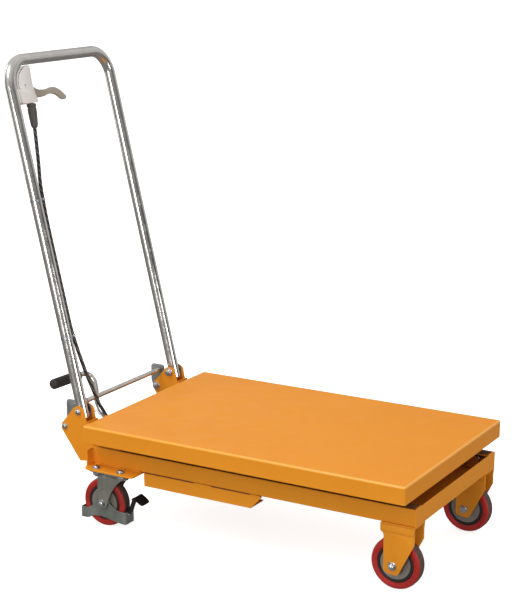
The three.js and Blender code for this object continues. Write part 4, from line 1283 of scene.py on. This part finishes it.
# =====================================================================
# handle brackets, pivots, lock yoke
# =====================================================================
for side, s in SIDES:
    finish_cad("handle_bracket_" + side, ORANGE, 0.75, 3)
    beads = []
    for yy in (148.7, 152.7, 179.9, 183.9):
        beads.append(weld("w", [P(-355.6, s * yy, 136), P(-355.6, s * yy, 164.5)], 1.4, ORANGE, 60 + s, 2.6))
    for yy in (152.9, 179.7):
        beads.append(weld("w", [P(-366.2, s * yy, 145), P(-366.2, s * yy, 208)], 1.2, ORANGE, 64 + s, 2.6))
    put(join("bracket_welds_" + side, beads), "base")

    # pads that steady the leg between the cheeks
    for y0, y1 in ((152.25, 154.2), (179.6, 180.35)):
        pad = prism("handle_pad", rounded([(-400, 216, 5), (-380, 216, 5), (-380, 241, 7), (-400, 241, 7)], 5), s * y0, s * y1, XZ, LOCKGREY, 0.3, 2)
        pad.name = "handle_pad_%s_%d" % (side, int(y0))
        put(pad, "base")

    # handle pivot: bolt through both cheeks, bushes beside the leg
    hb = []
    c = P(-391, 0, 230.5)
    at = lambda y, x=-391, z=230.5: P(x, s * y, z)
    hb.append(lathe("sh", [(0, 0), (5, 0), (5, 42), (0, 42)], 32, BOLT, axis=axis_matrix((0, s, 0)), closed=False))
    hb[-1].data.transform(Matrix.Translation(at(145)))
    hb.append(washer("w", 6.8, 1.1, BOLT, at(183.45), (0, s, 0)))
    hb.append(dome_bolt("d", at(184.5), (0, s, 0), 5.8, 4.0, BOLT, socket=True))
    hb += nut_stack("n", at(149.1), (0, -s, 0), 7.9, 5.0, 4.4, 1.6, 8.8)
    put(join("pivot_bolt_set_" + side, hb), "base", "handle_pivot_bolt_" + side)

    # lock plate with its own pin
    outline = rounded([(-441, 244, 7), (-441, 208, 6), (-436, 190, 8), (-414, 186, 8), (-407, 222, 6), (-407, 244, 7)], 6)
    lp = [prism("lp", outline, s * 152.6, s * 155.7, XZ, LOCKGREY, 0.7, 3)]
    # a pressed bead that follows the plate's rear edge
    lp.append(tube("bd", catmull([P(-435.5, s * 155.5, 238), P(-435.8, s * 155.6, 222), P(-434.5, s * 155.6, 208), P(-431, s * 155.5, 198)], 8), 1.5, LOCKGREY, 14))
    lp.append(lathe("pin", [(0, 0), (4.5, 0), (4.5, 40), (0, 40)], 32, BOLT, axis=axis_matrix((0, s, 0)), closed=False))
    lp[-1].data.transform(Matrix.Translation(P(-425, s * 146, 196)))
    lp.append(washer("w", 6.4, 1.0, BOLT, P(-425, s * 183.45, 196), (0, s, 0)))
    lp.append(dome_bolt("d", P(-425, s * 184.4, 196), (0, s, 0), 5.4, 3.6, BOLT, socket=True))
    lp += nut_stack("n", P(-425, s * 149.1, 196), (0, -s, 0), 7.2, 4.6, 4.0, 1.4, 8.2)
    lp.append(weld("w", [P(-417 + 6.2 * cos(a), s * 152.4, 233.5 + 6.2 * sin(a)) for a in [k / 18 * 2 * pi for k in range(19)]], 1.1, LOCKGREY, 70, 2.2))
    put(join("lock_plate_set_" + side, lp), "handle_lock", "lock_plate_" + side)

rod = lathe("lock_rod_turned", [(0, -156.8), (3.8, -156.8), (5, -155.6), (5, 155.6), (3.8, 156.8), (0, 156.8)], 48, ROD, centre=P(-417, 0, 233.5), closed=False)
put(rod, "handle_lock", "lock_rod")
# return spring of the lock, hooked over the rod and to the bracket
sp = spring("lock_return_spring", P(-417, -120, 228.4), P(-370, -120, 205), 2.6, 0.6, 16, BOLT)
hook = tube("hk", [P(-417, -120, 233.5) + Vector((0, 0.0, 0)) + Vector((cos(a) * 0.0058, 0, sin(a) * 0.0058)) for a in [radians(d) for d in range(-90, 200, 12)]], 0.7, BOLT, 10)
sp = join("lock_return_spring", [sp, hook])
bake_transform(sp)
PIECES.append(sp)
# post that the spring is hooked to
post = prism("spring_post", rounded([(-372.5, 134, 3), (-355.2, 134, 0), (-355.2, 150, 0), (-366, 152, 3), (-366, 210, 3), (-372.5, 210, 3)], 5), -121.8, -118.2, XZ, ORANGE, 0.5, 3)
put(post, "base")

# =====================================================================
# push handle
# =====================================================================
def handle_line(tail=-14, k=26):
    pts = [(-167.9, tail), (-167.9, 100), (-167.9, 250), (-167.9, 400), (-167.9, 550)]
    for i in range(k + 1):
        a = pi - i / k * pi / 2
        pts.append((-167.9 + 52 + 52 * cos(a), 709.3 - 52 + 52 * sin(a)))
    half = pts
    return half + [(-60, 709.3), (0, 709.3), (60, 709.3)] + [(-a, b) for a, b in reversed(half)]


ht = tube("handle_tube_bent", [HP(y, s_) for y, s_ in handle_line()], 11.5, ZINC, sides=64, bore=9.7)
hparts = [ht]
for s in (-1, 1):
    # turned-in foot of each leg with its pivot bush
    b = lathe("bush", [(5.2, 11.0), (9.0, 11.0), (9.0, 13.1), (8.6, 13.5), (5.2, 13.5)], 40, BLACK_RING, axis=axis_matrix((0, -s, 0)))
    b.data.transform(Matrix.Translation(HP(s * 167.9, 0)))
    b2 = lathe("bush", [(5.2, 10.8), (7.6, 10.8), (7.6, 11.6), (5.2, 11.6)], 40, BLACK_RING, axis=axis_matrix((0, s, 0)))
    b2.data.transform(Matrix.Translation(HP(s * 167.9, 0)))
    hparts += [b, b2]
put(join("handle_tube_bent", hparts), "handle", "handle_tube")

HPL = lambda u, v, w: HP(u, v, w)
BC = (-115.9, 657.3)
arc = lambda R, a0, a1, k: [(BC[0] + R * cos(radians(a0 + (a1 - a0) * i / k)), BC[1] + R * sin(radians(a0 + (a1 - a0) * i / k))) for i in range(k + 1)]
right = [(-106.8, 688.5), (-108.6, 676), (-109.6, 662), (-109.6, 651), (-107.8, 640), (-105.6, 630.4), (-102.4, 624.6), (-103.4, 622.2), (-107.5, 621.2)]
bottom = [(-120, 620.8), (-148, 621.4), (-152.6, 623.6), (-155.2, 628.0), (-156.0, 636.0), (-156.2, 646.0)]
hparts = []
main_o = [(-112.2, 696.8), (-108.6, 694.6)] + right + bottom + [(-155.9, 648.5), (-152.3, 649.5)] + arc(35.0, 192, 112, 14)[0:] + [(-122.5, 694.6)]
hparts.append(prism("hs", main_o, -9.6, 9.8, HPL, CAST, 2.3, 5, 28))
lip = arc(40.3, 197, 106, 20) + arc(37.0, 108, 195, 20)
hparts.append(prism("lip", lip, -8.6, 8.8, HPL, CAST, 1.1, 4, 28))
# the slit round the housing's lip is a near-black band of painted shade
hparts.append(prism("dk", arc(38.6, 194, 112, 14) + arc(33.4, 112, 194, 14), -8.8, 6.4, HPL, RECESS_PAINTED_SHADE, 0.0))
# saddle strap that holds the housing to the leg
saddle = []
for k in range(17):
    a = radians(-66 + 132 * k / 16)
    saddle.append((-167.9 + 13.4 * cos(a), 13.4 * sin(a)))
for k in range(17):
    a = radians(66 - 132 * k / 16)
    saddle.append((-167.9 + 11.6 * cos(a), 11.6 * sin(a)))
hparts.append(prism("sd", saddle, 623.5, 652, lambda u, v, w: HP(u, w, v), CAST, 0.6, 3, 30))
# the pin's centre recess is painted near-black as shade
pin = lathe("pin", [(0, 0.2), (1.9, 0.2), (2.1, 0.9), (3.3, 1.2), (4.0, 0.8), (4.2, 0), (4.2, -0.5)], 32, CAST, axis=axis_matrix(HP(0, 0, 1) - HP(0, 0, 0)), closed=False,
            mats=[RECESS_PAINTED_SHADE], face_mat=[1, 1, 0, 0, 0, 0, 0])
pin.data.transform(Matrix.Translation(HP(-135.4, 657, 9.6)))
hparts.append(pin)
pin2 = dome_bolt("pb", HP(-134, 657, -9.4), HP(0, 0, -1) - HP(0, 0, 0), 3.8, 2.0, BOLT)
hparts.append(pin2)
# parting line screws on the back
for y_, s_ in ((-143, 634), (-118, 688)):
    hparts.append(dome_bolt("sc", HP(y_, s_, -9.4), HP(0, 0, -1) - HP(0, 0, 0), 3.2, 1.6, BOLT))
# slot that the lever swings in, filled with a near-black block as painted shade
hparts.append(prism("sl", [(-118, 633), (-108.9, 632.4), (-109.4, 651.5), (-118, 653)], -5.2, 5.2, lambda u, v, w: HP(u + 0.9, v, w), RECESS_PAINTED_SHADE, 0.3))
put(join("lever_housing_cast", hparts), "handle", "lever_housing")

top = [(-99.4, 651.7), (-90, 647.2), (-81.3, 645.5), (-64.1, 644.9), (-52, 646.9), (-43.7, 647.4), (-30.4, 645.3), (-20, 640.2), (-12.5, 634.6), (-5.5, 628.4)]
nose = [(-2.3, 624.6), (-3.2, 621.0), (-7.8, 619.1)]
low = [(-16.0, 620.2), (-23, 624.2), (-30.3, 629.6), (-41.4, 633.6), (-56.1, 634.1), (-71.9, 631), (-86.9, 630.3), (-98, 630.8), (-108, 634.0)]
outl = catmull([Vector((a, b, 0)) for a, b in [(-112, 656.5)] + top + nose + low + [(-116, 641)]], 5)
lev = prism("release_lever_moulded", [(v.x, v.y) for v in outl], -3.6, 3.6, HPL, OLIVE, 2.4, 6, 28)
root = prism("lr", rounded([(-141, 664, 4), (-126, 665.5, 5), (-112, 656, 3), (-112, 642, 3), (-134, 650, 4)], 5), -3.4, 3.4, HPL, OLIVE, 1.0, 3)
eye = lathe("eye", [(2.9, -3.9), (5.6, -3.9), (6.0, -3.4), (6.0, 3.4), (5.6, 3.9), (2.9, 3.9)], 40, OLIVE, axis=axis_matrix(HP(0, 0, 1) - HP(0, 0, 0)))
eye.data.transform(Matrix.Translation(HP(-134, 657, 0)))
put(join("release_lever_moulded", [lev, root, eye]), "release_lever", "release_lever")

# =====================================================================
# release cable: boot, sheath and clips
# =====================================================================
tilt = 0.1
down = (HP(-0.1 * sin(0) - sin(tilt), -cos(tilt)) - HP(0, 0)).normalized()
bp = [(0, -0.3), (7.0, -0.3), (9.4, 0.4), (9.8, 1.6), (9.8, 4.6), (9.3, 5.6), (8.3, 6.4), (8.5, 8), (8.6, 12)]
for k in range(8):
    z = 14 + k * 3.6
    r = 8.9 - 0.22 * k
    bp += [(r, z), (r + 0.12, z + 1.5), (r - 0.28, z + 2.4)]
bp += [(6.7, 44.0), (6.0, 46.6), (4.8, 48.2), (3.9, 48.6), (0, 48.6)]
boot = lathe("bt", bp, 48, BOOT, axis=axis_matrix(down), closed=False)
boot.data.transform(Matrix.Translation(HP(-116.6, 619.9)))
for k in range(10):
    a = k / 10 * 2 * pi
    q = axis_matrix(down).to_3x3()
    line = []
    for z, r in ((9, 8.7), (16, 8.75), (24, 8.25), (32, 7.75), (40, 7.15), (44, 6.6)):
        line.append(HP(-116.6, 619.9) + q @ Vector((r * cos(a) / 1000, r * sin(a) / 1000, z / 1000)))
    fl = tube("fl", line, 0.55, BOOT, 8)
    boot = join("bt", [boot, fl])
put(boot, "handle")
boot.name = "cable_boot"

up = [(-121.6, 576), (-122.5, 569.9), (-126.9, 543.7), (-134.2, 503.2), (-142.6, 462.8), (-145.8, 426.9), (-147.6, 390.2), (-148, 368),
      (-148, 260), (-147.6, 170), (-144.5, 140), (-139, 105), (-130, 62), (-121, 30), (-115.5, 12), (-113.4, 4.3)]
line = [HP(a, b) for a, b in up]
lowp = [(-391.6, -112.4, 229.4), (-390, -111.2, 226.8), (-384, -110, 218), (-377, -108, 205), (-376, -103, 190), (-377, -95, 172), (-377, -86, 154), (-377, -83, 133.6)]
line += [P(*q) for q in lowp[1:]]
route = catmull(line, 14)
# even out the spacing
even, acc = [route[0]], 0.0
for a, b in zip(route, route[1:]):
    acc += (b - a).length
    if acc > 0.0045:
        even.append(b)
        acc = 0.0
even.append(route[-1])
cable = tube("release_cable", even, 3.8, CABLE, sides=24)
lowest = len(even) - 1
ferr = tube("fr", [route[-1] + Vector((0, 0, 0.010)), route[-1] + Vector((0, 0, 0.001))], 4.8, BOLT, 24, radii=[4.8, 4.8])
cable = join("release_cable", [cable])
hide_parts("cable_upper", "cable_lower")
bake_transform(cable)
PIECES.append(cable)
put(ferr, "base")
ferr.name = "cable_end_ferrule"
for k, st in enumerate((430, 150)):
    cy_ = -146.0 if st == 430 else -145.4
    band_o = lathe("band", [(11.6, -2.4), (12.2, -2.4), (12.2, 2.4), (11.6, 2.4)], 64, BOLT, axis=axis_matrix(HP(0, 1) - HP(0, 0)))
    band_o.data.transform(Matrix.Translation(HP(-167.9, st)))
    loop_ = lathe("loop", [(3.9, -2.2), (4.6, -2.2), (4.6, 2.2), (3.9, 2.2)], 36, BOLT, axis=axis_matrix(HP(0, 1) - HP(0, 0)))
    loop_.data.transform(Matrix.Translation(HP(cy_, st)))
    bridge = prism("br", [(-156.4, -2.2), (cy_ - 3.2, -2.2), (cy_ - 3.2, 2.2), (-156.4, 2.2)], -1.4, 1.4, lambda u, v, w, st=st: HP(u, st + v, w), BOLT, 0.5, 2)
    put(join(f"cable_clip_{k}", [band_o, loop_, bridge]), "handle")

# =====================================================================
# pump pedal
# =====================================================================
pp = [(-375, -58, 158), (-386, -59, 168), (-404, -61, 180), (-424, -56, 190.5), (-438, -50, 202), (-447, -44, 215), (-452, -38, 232), (-459, -34, 248), (-469, -37, 260), (-474.5, -50, 265), (-476, -62, 265)]
bar = catmull([P(*q) for q in pp], 9) + [P(-478.5, -98, 265), P(-481.5, -144, 265)]
pparts = [tube("bar", bar, 5.5, ZINC, 32)]
boss = lathe("bo", [(6.6, -7.7), (11.4, -7.7), (12, -7.1), (12, 7.1), (11.4, 7.7), (6.6, 7.7)], 56, BOLT, centre=P(-368, -58, 150))
pparts.append(boss)
ringw = [P(-375, -58, 158) + Vector((0.0055 * sin(a) * 0.7, 0.0062 * cos(a), 0.0055 * sin(a) * 0.7)) for a in [k / 16 * 2 * pi for k in range(17)]]
pparts.append(weld("w", ringw, 1.1, BOLT, 80, 2.2))
put(join("pedal_bar_bent", pparts), "pedal", "pedal_arm")
a, b = P(-476.3, -66, 265), P(-481.6, -147, 265)
ax_ = (b - a).normalized()
fr = axis_matrix(ax_).to_3x3()
length = (b - a).length * 1000
stations = [(0, 8.6), (0.8, 11.6), (1.6, 12.4), (4.2, 12.4), (5.2, 11.8), (6.0, 10.6)]
z = 7.0
while z < length - 7:
    stations.append((z, 10.8))
    z += 3.0
stations += [(length - 6, 10.8), (length - 3.2, 10.4), (length - 1.4, 9.4), (length - 0.4, 7.4), (length, 4.6)]
sides = 168
verts, faces = [], []
for z, r in stations:
    flute = 1.0 if 6.4 < z < length - 4 else 0.0
    for i in range(sides):
        a_ = 2 * pi * i / sides
        w = (cos(a_ * 21) * 0.5 + 0.5)
        rr = r - flute * 1.9 * w ** 1.4
        verts.append(a + fr @ Vector((rr * cos(a_) / 1000, rr * sin(a_) / 1000, z / 1000)))
for j in range(len(stations) - 1):
    for i in range(sides):
        k = (i + 1) % sides
        faces.append([j * sides + i, j * sides + k, (j + 1) * sides + k, (j + 1) * sides + i])
faces.append(list(range(sides))[::-1])
faces.append([(len(stations) - 1) * sides + i for i in range(sides)])
grip = new_obj("pedal_grip_moulded", verts, faces, RUBBER)
bm = bmesh.new()
bm.from_mesh(grip.data)
bmesh.ops.recalc_face_normals(bm, faces=bm.faces[:])
bm.to_mesh(grip.data)
bm.free()
smooth(grip, 50)
put(grip, "pedal", "pedal_grip")

# =====================================================================
# pump, ram and hose
# =====================================================================
finish_cad("pump_block", BLACKPAINT, 1.6, 4)
pb = []
for bx, by in ((-330, -72), (-330, 2), (-265, -72), (-265, 2)):
    pb.append(hexagon("b", 6.2, 4.2, BOLT, P(bx, by, 86.2), (0, 0, -1), turn=random.random()))
pb.append(lathe("cap", [(0, 74.4), (9, 74.4), (9.6, 73.8), (9.6, 70.8), (8.6, 70.0), (0, 70.0)], 40, BOLT, axis="Z", centre=P(-275, -35, 0), closed=False))
pb.append(lathe("plug", [(0, 0), (7, 0), (7.4, 0.6), (7.4, 4.4), (6.8, 5), (0, 5)], 36, BOLT, axis=axis_matrix((1, 0, 0)), closed=False))
pb[-1].data.transform(Matrix.Translation(P(-256.3, -60, 108)))
pb.append(hexagon("fit", 8.2, 7.5, BRASS, P(-256.3, -14, 108), (1, 0, 0)))
pb.append(washer("fw", 9.0, 1.2, BOLT, P(-256.6, -14, 108), (1, 0, 0)))
# the pedal's cross pin
pb.append(lathe("pin", [(0, -72), (5.6, -72), (6.0, -71.4), (6.0, -44.6), (5.6, -44), (0, -44)], 36, BOLT, centre=P(-368, 0, 150), closed=False))
put(join("pump_fittings", pb), "base")

RC, RS = cos(RAM_ANGLE), sin(RAM_ANGLE)
RP = lambda l, y=0.0, h=0.0: P(-151.5 + l * RC - h * RS, y, 100 + l * RS + h * RC)
rd = RP(1) - RP(0)
bprof = [(13.5, 202), (14.2, 202.6), (20.6, 202.6), (21.5, 201.6), (21.5, 189.4), (20.8, 188.4), (19.2, 187.8), (19, 186), (19, 24.5), (18.4, 21.0), (16.4, 18.4), (11, 17.6), (0, 17.6), (0, 22), (13.5, 22)]
barrel = lathe("br", bprof, 80, BLACKPAINT, axis=axis_matrix(rd))
barrel.data.transform(Matrix.Translation(RP(0)))
bparts = [barrel]
bparts.append(lathe("eye", [(6.3, -13.5), (10.2, -13.5), (11, -12.7), (11, 12.7), (10.2, 13.5), (6.3, 13.5)], 48, BLACKPAINT, centre=RP(0)))
neck = prism("nk", [(0, -9.5), (19.5, -11), (19.5, 11), (0, 9.5)], -11, 11, lambda u, v, w: RP(u if u > 5 else 8, w, v), BLACKPAINT, 1.4, 4)
bparts.append(neck)
wip = lathe("wp", [(11.2, 202.2), (13.4, 202.2), (13.4, 204.2), (12.2, 205.4), (11.2, 205.0)], 64, BLACK_RING, axis=axis_matrix(rd))
wip.data.transform(Matrix.Translation(RP(0)))
bparts.append(wip)
elb = hexagon("el", 7.0, 7.5, BRASS, RP(34, 0, 18.2), RP(0, 0, 1) - RP(0))
bparts.append(elb)
bparts.append(weld("w", [RP(24.2, 19.4 * cos(a), 19.4 * sin(a)) for a in [k / 40 * 2 * pi for k in range(41)]], 1.0, BLACKPAINT, 90, 2.4))
put(join("ram_barrel_turned", bparts), "ram_barrel", "cylinder_barrel")
rod_pin = OA(349.35, 0, 5.56)
RD = lambda l, y=0.0, h=0.0: rod_pin + Vector(((l * RC - h * RS) / 1000, y / 1000, (l * RS + h * RC) / 1000))
rparts = [lathe("rd", [(0, -198), (10, -198), (11, -197), (11, -15), (10.2, -13.5), (10.2, -9), (0, -9)], 72, CHROME, axis=axis_matrix(rd), closed=False)]
rparts[0].data.transform(Matrix.Translation(RD(0)))
rparts.append(lathe("re", [(6.3, -13.5), (10.2, -13.5), (11, -12.7), (11, 12.7), (10.2, 13.5), (6.3, 13.5)], 48, BOLT, centre=RD(0)))
put(join("piston_rod_turned", rparts), "ram_rod", "piston_rod")
# pressure hose from the pump to the ram
ha = P(-248.5, -14, 108)
hb_ = RP(34, 0, 27)
hose_pts = catmull([ha, P(-240, -14, 108), P(-222, -16, 103), P(-200, -30, 100), P(-176, -34, 108), P(-150, -26, 122), RP(30, -8, 33), hb_ + Vector((0, 0, 0.001)), RP(34, 0, 25.5)], 9)
hose = tube("pressure_hose", hose_pts, 4.2, HOSE, 24)
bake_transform(hose)
PIECES.append(hose)

# =====================================================================
# any CAD node still showing takes a finished material
# =====================================================================
BYSLOT = {"orange_paint": ORANGE, "zinc_steel": BOLT, "chrome_steel": CHROME, "grey_steel": GREY, "red_polyurethane": TYRE, "hub_grey": HUB,
          "black_rubber": RUBBER, "black_paint": BLACKPAINT, "cast_aluminium": CAST, "olive_plastic": OLIVE}
for name, o in NODES.items():
    for i, sl in enumerate(o.material_slots):
        base = (sl.material.name if sl.material else "").split(".")[0]
        sl.material = BYSLOT.get(base, ORANGE)

BOX1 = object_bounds()
plain = lambda v: [plain(x) for x in v] if isinstance(v, (list, tuple, Vector)) else float(v)
{"cad_box": plain(BOX0), "visual_box": plain(BOX1)}
